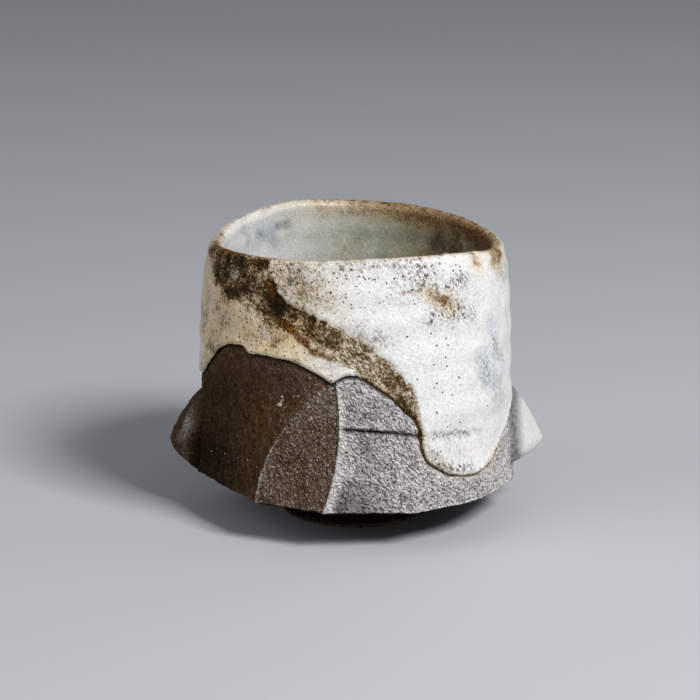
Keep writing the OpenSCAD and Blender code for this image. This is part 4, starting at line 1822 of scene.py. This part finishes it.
@dataclass
class Lug:
    """Pinched clay point on the cup's side, which grows out of the wall between two ridges."""

    form: CupForm
    surface: Surface
    outline: LugOutline
    reach: float = 6.3
    rows: int = 72
    columns: int = 64
    bury: float = 0.45

    def grid(self, coat: float) -> tuple[Array, Array, Array, Array]:
        """Outside of the lug.

        Args:
            coat: thickness of the glaze over the clay.

        Returns:
            Rows of points, their angles and heights, and how far each stands out of the wall.
        """
        form, lug = self.form, self.outline
        f = np.linspace(0.0, 1.0, self.columns)[None, :]
        v = np.linspace(0.0, 1.0, self.rows)[:, None]
        z = mix(lug.top, lug.foot, v) * np.ones_like(f)
        k = np.full(f.shape, lug.facet.value)
        angle = mix(form.ridge_angle(k, z), form.ridge_angle(k + 1, z), f)
        at = (lug.top - lug.tip) / (lug.top - lug.foot)
        down = np.where(v < at, v / at, (1.0 - v) / (1.0 - at))
        down_round = np.where(v < at, lug.side_round, lug.lower_round)
        across = 1.0 - np.abs(2.0 * f - 1.0)
        swell = [mix(t, np.sqrt(1.0 - (1.0 - t) ** 2), bulge)
                 for t, bulge in ((down, down_round), (across, lug.side_round))]
        stand = (self.reach + self.bury) * swell[0] * swell[1] - self.bury
        wall = form.cut_r(k, f, z) + stand
        rough = 0.10 * self.surface.coarse.octaves(polar(wall, angle, z), 2.6, 3)
        r = wall + ease(stand / 0.8 + 0.5) * rough + coat * ease((stand + self.bury) / 0.9)
        return polar(r, angle, z), angle, z, stand

    def close(self, draft: Draft, outer: Array, inner: Array) -> None:
        """Skins two grids of one size into a closed slab.

        Args:
            draft: the piece that they belong to.
            outer: the outer points' numbers.
            inner: the inner points' numbers.
        """
        draft.skin(outer, closed=False)
        draft.skin(inner[::-1], closed=False)
        for near, away in ((outer[0], inner[0]), (inner[-1], outer[-1])):
            draft.skin(np.stack([away, near]), closed=False)
        for near, away in ((outer[:, 0], inner[:, 0]), (inner[:, -1], outer[:, -1])):
            draft.skin(np.stack([near, away]), closed=False)


@dataclass
class ClayLug(Lug):
    """Lug of bare clay."""

    thick: float = 1.2

    def build(self, name: str, finish: Material) -> Object:
        """Makes the piece.

        Args:
            name: its name.
            finish: its material.

        Returns:
            The piece.
        """
        draft = Draft(CLAY_MARKS)
        points, angle, z, stand = self.grid(0.0)
        tear = self.surface.torn(angle, z, points) * ease(stand / 1.5)
        out = points * np.array([1.0, 1.0, 0.0]) / np.hypot(points[..., 0], points[..., 1])[..., None]
        points = points + out * (0.6 * tear)[..., None]
        tip = self.outline.tip
        front = ease((wrapped(angle) + 179.0) / 3.0) * (wrapped(angle) < 0.0)
        # The pale patch down the lug's front face is partly wear and partly a painted highlight, with more
        # pale specks; the front side is painted darker, most low down and in the crease by the wall: painted
        # shade.
        wear_and_highlight = front * bell(stand - 0.6 * self.reach, 1.9) * bell(z - tip - 5.0, 3.6)
        low = ease((tip + 4.0 - z) / 3.0)
        wear_and_highlight = np.maximum(wear_and_highlight, 0.16 * front * low * bell(stand - 0.5 * self.reach, 0.9))
        crease = ease((3.2 - stand) / 2.6) * ease((tip + 7.0 - z) / 6.0)
        marks = {"warm": 1.0, "pale": 0.72 * wear_and_highlight, "sand": 0.1 + 0.5 * wear_and_highlight, "rust": 0.4,
                 "dark": unit(front * (0.22 + 0.1 * low + 0.55 * crease) - 1.3 * wear_and_highlight)}
        inside = points - out * self.thick
        self.close(draft, draft.grid(points, marks), draft.grid(inside, marks))
        return draft.make(name, finish)


@dataclass
class GlazedLug(Lug):
    """Lug under a coat of the poured glaze."""

    coat: float = 0.55
    sunk: float = 0.1

    def build(self, name: str, finish: Material) -> Object:
        """Makes the glaze over the lug.

        Args:
            name: its name.
            finish: its material.

        Returns:
            The piece.
        """
        draft = Draft(GLAZE_MARKS)
        points, angle, z, stand = self.grid(self.coat)
        under, _, _, _ = self.grid(-self.sunk)
        tip = self.outline.tip
        low = ease((tip - 1.0 - z) / 3.0)
        cloud = self.surface.spread.octaves(points, 3.0, 3)
        crease = ease((2.8 - stand) / 2.4)
        cover = 1.15 - 0.3 * low - 0.1 * bell(stand - self.reach, 1.2) + 0.05 * cloud
        # The crease by the wall is greyed through the ash mark: painted shade.
        marks = {"cover": np.clip(cover, 0.0, 1.15), "blue": 0.08, "cream": 0.05,
                 "ash": unit(0.16 + crease * (0.8 + 0.1 * ease((tip + 3.0 - z) / 6.0))),
                 "rust": self.surface.stains(angle, z, points)["rust"]}
        self.close(draft, draft.grid(points, marks), draft.grid(under, marks))
        return draft.make(name, finish)


@dataclass
class FootRing:
    """Turned foot ring, swept round the axis by a node tree."""

    form: CupForm
    turns: int = 260
    profile: int = 72
    edge_steps: int = 6
    lump_mm: float = 1.6
    waver: float = 0.14
    overlap: float = 0.3
    seed: float = 4.0

    def tree(self) -> NodeTree:
        """Builds the node tree: a round-edged section swept round a circle, roughened and cut flat below.

        Returns:
            The tree.
        """
        sizes = ("Middle radius", "Wall width", "Height", "Edge round", "Waver", "Seed")
        tree, add, given = new_group("foot_ring_sweep", {**dict.fromkeys(sizes, "Float"), "Clay": "Material"})
        path = add("GeometryNodeCurvePrimitiveCircle",
                   {"Resolution": self.turns, "Radius": given["Middle radius"]}, mode="RADIUS")
        section = add("GeometryNodeCurvePrimitiveQuadrilateral",
                      {"Width": given["Wall width"], "Height": given["Height"]})
        section = add("GeometryNodeFilletCurve", {
            "Curve": section, "Count": self.edge_steps, "Radius": given["Edge round"]}, mode="POLY")
        section = add("GeometryNodeResampleCurve", {"Curve": section, "Count": self.profile})
        swept = add("GeometryNodeCurveToMesh", {"Curve": path, "Profile Curve": section})
        half = add("Math", (given["Height"], 0.5), operation="MULTIPLY")
        lift = add("CombineXYZ", {"Z": half})
        swept = add("GeometryNodeSetPosition", {"Geometry": swept, "Offset": lift})
        noise = add("TexNoise", {"Scale": per_mm(self.lump_mm), "Detail": 3.0, "W": given["Seed"]},
                    noise_dimensions="4D")
        push = add("Math", (noise, 0.62), operation="SUBTRACT")
        push = add("Math", (push, given["Waver"]), operation="MULTIPLY")
        way = add("VectorMath", {0: add("GeometryNodeInputNormal"), "Scale": push}, operation="SCALE")
        swept = add("GeometryNodeSetPosition", {"Geometry": swept, "Offset": way})
        spot = add("SeparateXYZ", (add("GeometryNodeInputPosition"),)).outputs
        level = add("Math", (spot["Z"], 0.0), operation="MAXIMUM")
        flat = add("CombineXYZ", {"X": spot["X"], "Y": spot["Y"], "Z": level})
        swept = add("GeometryNodeSetPosition", {"Geometry": swept, "Position": flat})
        # Paler at the standing edge, partly wear and partly a painted highlight, and darker higher up, which
        # is painted shade under the cup.
        wear_and_highlight = add("MapRange", (spot["Z"], 0.15 * MM, 1.1 * MM, 0.35, 0.0))
        painted_shade = add("MapRange", (spot["Z"], 0.3 * MM, 1.3 * MM, 0.1, 0.75))
        for name, value in (("pale", wear_and_highlight), ("warm", 1.0), ("dark", painted_shade)):
            swept = add("GeometryNodeStoreNamedAttribute", {"Geometry": swept, "Name": name, "Value": value})
        swept = add("GeometryNodeStoreNamedAttribute", {"Name": LAY, "Geometry": swept, "Value": flat},
                    data_type="FLOAT_VECTOR")
        swept = add("GeometryNodeSetShadeSmooth", {"Geometry": swept})
        swept = add("GeometryNodeRealizeInstances", {"Geometry": swept})
        swept = add("GeometryNodeSetMaterial", {"Geometry": swept, "Material": given["Clay"]})
        add("NodeGroupOutput", (swept,))
        return tree

    def build(self, finish: Material) -> Object:
        """Makes the piece.

        Args:
            finish: its material.

        Returns:
            The piece.
        """
        form = self.form
        values = {
            "Middle radius": (form.foot_d - form.foot_w) / 2 * MM, "Wall width": form.foot_w * MM,
            "Height": (form.foot_h + self.overlap) * MM, "Edge round": form.foot_round * MM,
            "Waver": self.waver * MM, "Seed": self.seed, "Clay": finish,
        }
        return grown("cup_foot_ring", bpy.data.meshes.new("cup_foot_ring"), self.tree(), values)


def grown(name: str, mesh: Mesh, tree: NodeTree, values: dict[str, Any]) -> Object:
    """Runs a node tree on a mesh and keeps the result as a plain mesh.

    Args:
        name: the piece's name.
        mesh: what the tree starts from.
        tree: the node tree.
        values: the tree's inputs by name.

    Returns:
        The piece.
    """
    piece = bpy.data.objects.new(name, mesh)
    bpy.context.scene.collection.objects.link(piece)
    modifier = piece.modifiers.new(tree.name, "NODES")
    modifier.node_group = tree
    for item in tree.interface.items_tree:
        if item.in_out == "INPUT" and item.name in values:
            modifier[item.identifier] = values[item.name]
    plain_mesh(piece)
    return piece


@dataclass
class Scatter:
    """Small grains set on a surface by a node tree, each lying on its own place."""

    LAID = ("aim", "lie", "reach")

    name: str
    seed: int

    def tree(self) -> NodeTree:
        """Builds the node tree: a small faceted grain on each point, turned and scaled by its marks.

        Returns:
            The tree.
        """
        tree, add, given = new_group(self.name + "_scatter", {
            "Geometry": "Geometry", "Roundness": "Int", "Finish": "Material"})
        aim, lie, reach = (add("GeometryNodeInputNamedAttribute", {"Name": n}, data_type="FLOAT_VECTOR")
                           for n in self.LAID)
        grain = add("GeometryNodeMeshIcoSphere", {"Radius": 1.0, "Subdivisions": given["Roundness"]})
        stood = add("FunctionNodeAlignRotationToVector", {"Vector": aim}, axis="Z")
        laid = add("FunctionNodeAlignRotationToVector", {"Rotation": stood, "Vector": lie}, axis="X",
                   pivot_axis="Z")
        grains = add("GeometryNodeInstanceOnPoints", {
            "Points": given["Geometry"], "Instance": grain.outputs["Mesh"], "Rotation": laid, "Scale": reach})
        grains = add("GeometryNodeRealizeInstances", {"Geometry": grains})
        grains = add("GeometryNodeSetShadeSmooth", {"Geometry": grains})
        grains = add("GeometryNodeSetMaterial", {"Geometry": grains, "Material": given["Finish"]})
        add("NodeGroupOutput", (grains,))
        return tree

    def build(self, places: Array, aims: Array, reach: Array, finish: Material) -> Object:
        """Makes the piece.

        Args:
            places: the grains' middles, in millimetres.
            aims: the surface's outward directions there.
            reach: each grain's half sizes along, across and out, in millimetres.
            finish: the grains' material.

        Returns:
            The piece.
        """
        rng = np.random.default_rng(self.seed)
        mesh = bpy.data.meshes.new(self.name)
        mesh.from_pydata((places * MM).tolist(), [], [])
        lies = rng.normal(size=places.shape)
        for name, value in zip(self.LAID, (aims, lies, reach * MM)):
            mesh.attributes.new(name, "FLOAT_VECTOR", "POINT").data.foreach_set(
                "vector", value.astype(np.float32).reshape(-1))
        piece = grown(self.name, mesh, self.tree(), {"Roundness": 1, "Finish": finish})
        for name in self.LAID:
            if name in piece.data.attributes:
                piece.data.attributes.remove(piece.data.attributes[name])
        return piece


SAND_COUNT, SAND_SEED, SAND_LIE_SEED = 1800, 32, 31
SPOT_COUNT, SPOT_SEED, SPOT_LIE_SEED = 560, 42, 41
FLAKE = ((-119, 30.6), (-119.4, 30), (-119.9, 29.5), (-120.4, 29), (-121.2, 28.7))
PINHOLES = (
    (-122.4, 55.7), (-104.7, 57.6), (-113.8, 53.9), (-111.3, 54), (-112.8, 52.1), (-115.8, 51.6),
    (-104.6, 50.2), (-99, 52.8), (-103.5, 52.3), (-106.2, 54.6), (-96.5, 55.6), (-108.2, 52.7),
    (-109, 49.9), (-119.1, 53.4), (-135.9, 57.3), (-136, 42.5), (-154.5, 42.5), (-130.4, 46),
    (-125.4, 42.3), (-66.3, 58.1), (-68.7, 57.2), (-67, 57.3), (-69.8, 56.2), (-75.7, 57.5), (-73.9, 57.2),
    (-75.7, 55.4), (-50.4, 56.7), (-51.6, 55.8), (-68.5, 50.1), (-62.4, 51.7), (-71.5, 43.8), (-62, 44.1),
    (-55.8, 42.7), (-60.3, 41.5), (-55.3, 41.3), (-56.3, 38.8), (-67.4, 41.9), (-86.6, 41.8), (-67.8, 35.2),
    (-61.4, 37.6), (-55.9, 37), (-50.3, 34.4), (-60.2, 34), (-49.8, 32.6), (-57.9, 32), (-53.3, 30.8),
    (-54.5, 24.4), (-55.8, 22), (-63, 22.8), (-57.6, 19.6), (-34.2, 26.4), (-59.8, 27.9), (-53.5, 25),
    (-48.7, 24.9))


def nearest(form: CupForm, points: Array, places: Sequence[tuple[float, float]]) -> list[int]:
    """Numbers of the points that lie nearest to some places on the wall.

    Args:
        form: the cup.
        points: a grid of points on its wall.
        places: angles and heights.

    Returns:
        A number for each place, counted along the grid's rows.
    """
    wall = form.unrolled(angle_of(points), points[..., 2]).reshape(-1, 2)
    return [int(np.argmin(np.sum((wall - p) ** 2, axis=1))) for p in form.unrolled(*np.array(places).T)]


def iron_spots(glaze: OuterGlaze, count: int, seed: int) -> tuple[Array, Array, Array]:
    """Lays out the glaze's iron spots: the large ones at listed places, the rest by chance.

    Args:
        glaze: the built glaze.
        count: how many come by chance.
        seed: of the random draws.

    Returns:
        The middles, outward directions and half sizes.
    """
    rng = np.random.default_rng(seed)
    points, ways = glaze.points.reshape(-1, 3), normals_of(glaze.points).reshape(-1, 3)
    large = nearest(glaze.form, glaze.points, PINHOLES)
    weight = (glaze.shown["spots"] ** 2).reshape(-1)
    small = rng.choice(len(points), size=count, replace=False, p=weight / weight.sum())
    chosen = np.concatenate([large, small])
    high = ease((points[small, 2] - 52.0) / 4.0)
    large_size = rng.uniform(0.24, 0.44, len(large))
    size = np.concatenate([large_size, 0.1 + (0.18 + 0.1 * high) * rng.random(count) ** 2])
    reach = np.stack([size, size * rng.uniform(0.7, 1.0, len(size)), 0.09 + 0.1 * size], axis=-1)
    return points[chosen] - ways[chosen] * (0.6 * reach[:, 2:]), ways[chosen], reach


def sand_grains(clay: ClayBody, count: int, seed: int) -> tuple[Array, Array, Array]:
    """Lays out the grains that stand out of the clay: sand, and one torn flake.

    Args:
        clay: the built clay.
        count: how many grains of sand.
        seed: of the random draws.

    Returns:
        The middles, outward directions and half sizes.
    """
    rng = np.random.default_rng(seed)
    shown = slice(8, -2)
    grid = clay.points[shown]
    points, ways = grid.reshape(-1, 3), normals_of(clay.points)[shown].reshape(-1, 3)
    flake = nearest(clay.form, grid, FLAKE)
    weight = np.where(clay.form.k == Facet.LEFT.value, 0.15, 1.0)
    weight = np.broadcast_to(weight, grid.shape[:-1]).reshape(-1)
    small = rng.choice(len(points), size=count, replace=False, p=weight / weight.sum())
    chosen = np.concatenate([flake, small])
    size = np.concatenate([np.full(len(flake), 0.4), 0.07 + 0.12 * rng.random(count) ** 2])
    reach = np.stack([size * rng.uniform(1.0, 1.5, len(size)), size, 0.7 * size], axis=-1)
    return points[chosen] - ways[chosen] * (0.25 * reach[:, 2:]), ways[chosen], reach


@dataclass(frozen=True)
class Lamp:
    """Square area lamp that points at the cup.

    Attributes:
        name: its name.
        azimuth: its direction in degrees, as the cup's angles are counted.
        elevation: its height above the floor in degrees.
        away: its distance in metres.
        size: its side in metres.
        power: its power in watts.
    """

    name: str
    azimuth: float
    elevation: float
    away: float
    size: float
    power: float

    def build(self, aim: Vector) -> None:
        """Adds the lamp, turned towards a point.

        Args:
            aim: the point, in metres.
        """
        a, e = math.radians(self.azimuth), math.radians(self.elevation)
        light = bpy.data.lights.new(self.name, "AREA")
        light.energy, light.size = self.power, self.size
        holder = bpy.data.objects.new(self.name, light)
        place = Vector((math.cos(a) * math.cos(e), math.sin(a) * math.cos(e), math.sin(e))) * self.away
        holder.location = place + aim
        holder.rotation_euler = (-place).to_track_quat("-Z", "Y").to_euler()
        bpy.context.scene.collection.objects.link(holder)


@dataclass
class Studio:
    """Plain pale floor, soft light from the right and the camera at the photograph's place."""

    eye: tuple[float, float, float] = (-0.00105, -0.5506, 0.1757)
    aim: tuple[float, float, float] = (-0.00105, 0.0, 0.0335)
    lens: float = 142.3
    sensor: float = 36.0
    far_clip: float = 50.0
    sky: str = "#e6e8ec"
    sky_strength: float = 0.22
    floor_half: float = 4.0
    lamps: tuple[Lamp, ...] = (Lamp("key_light", -50.0, 42.0, 0.9, 0.26, 7.6),
                               Lamp("fill_light", -160.0, 32.0, 1.2, 0.7, 2.1))

    def build(self) -> None:
        """Adds the camera, the lamps, the sky and the floor."""
        scene = bpy.context.scene
        scene.view_settings.view_transform = "Standard"
        data = bpy.data.cameras.new("camera")
        data.lens, data.sensor_width, data.sensor_fit = self.lens, self.sensor, "AUTO"
        data.clip_end = self.far_clip
        camera = bpy.data.objects.new("camera", data)
        camera.location = self.eye
        camera.rotation_euler = (Vector(self.aim) - Vector(self.eye)).to_track_quat("-Z", "Y").to_euler()
        scene.collection.objects.link(camera)
        scene.camera = camera
        for lamp in self.lamps:
            lamp.build(Vector(self.aim))
        world = bpy.data.worlds.new("pale_studio")
        world.use_nodes = True
        world.node_tree.nodes.clear()
        add = partial(add_node, world.node_tree)
        sky = add("Background", {"Color": linear(self.sky), "Strength": self.sky_strength})
        add("OutputWorld", {"Surface": sky})
        scene.world = world
        self.floor()

    def floor(self) -> None:
        """Adds the floor."""
        half = self.floor_half
        mesh = bpy.data.meshes.new("studio_floor")
        mesh.from_pydata([(-half, -half, 0.0), (half, -half, 0.0), (half, half, 0.0), (-half, half, 0.0)], [],
                         [(0, 1, 2, 3)])
        mesh.materials.append(PaleBoard().make())
        floor = bpy.data.objects.new("studio_floor", mesh)
        bpy.context.scene.collection.objects.link(floor)


def main() -> None:
    """Loads the frame, and builds every piece of the cup and its studio."""
    logging.basicConfig(level=logging.INFO, format="%(name)s: %(message)s")
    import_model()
    Studio().build()

    clay_finish = StonewareClay().make()
    white = AshGlaze("white_feldspar_glaze", gloss=0.36, pepper=2.5, clear=0.25).make()
    liner = AshGlaze("celadon_liner_glaze", gloss=0.28, pepper=0.8, clear=0.8).make()
    lug_white = AshGlaze("white_lug_glaze", gloss=0.4, pepper=1.2, clear=0.9).make()
    spot, sand = IRON_SPOT.make(), FELDSPAR_SAND.make()

    form = CupForm()
    surface = Surface(form)
    clay = ClayBody(form, surface)
    hand_in(clay.build(clay_finish), "bare_clay", "clay_body")
    hand_in(FootRing(form).build(clay_finish), "bare_clay", "foot_ring")
    left = ClayLug(form, surface, LEFT_LUG)
    hand_in(left.build("cup_left_lug", clay_finish), "bare_clay", "left_lug")
    right = ClayLug(form, surface, RIGHT_LUG)
    hand_in(right.build("cup_right_lug", clay_finish), "bare_clay", "right_lug")
    coat = GlazedLug(form, surface, RIGHT_LUG)
    hand_in(coat.build("cup_right_lug_glaze", lug_white), "white_glaze", "right_lug_glaze")
    glaze = OuterGlaze(form, surface)
    hand_in(glaze.build(white), "white_glaze", "outer_glaze")
    hand_in(InnerGlaze(form, surface).build(liner), "inner_glaze", "inner_glaze")
    grains = sand_grains(clay, SAND_COUNT, SAND_SEED)
    hand_in(Scatter("clay_sand_grains", SAND_LIE_SEED).build(*grains, sand), "bare_clay")
    spots = iron_spots(glaze, SPOT_COUNT, SPOT_SEED)
    hand_in(Scatter("glaze_iron_spots", SPOT_LIE_SEED).build(*spots, spot), "white_glaze")


if __name__ == "__main__":
    main()
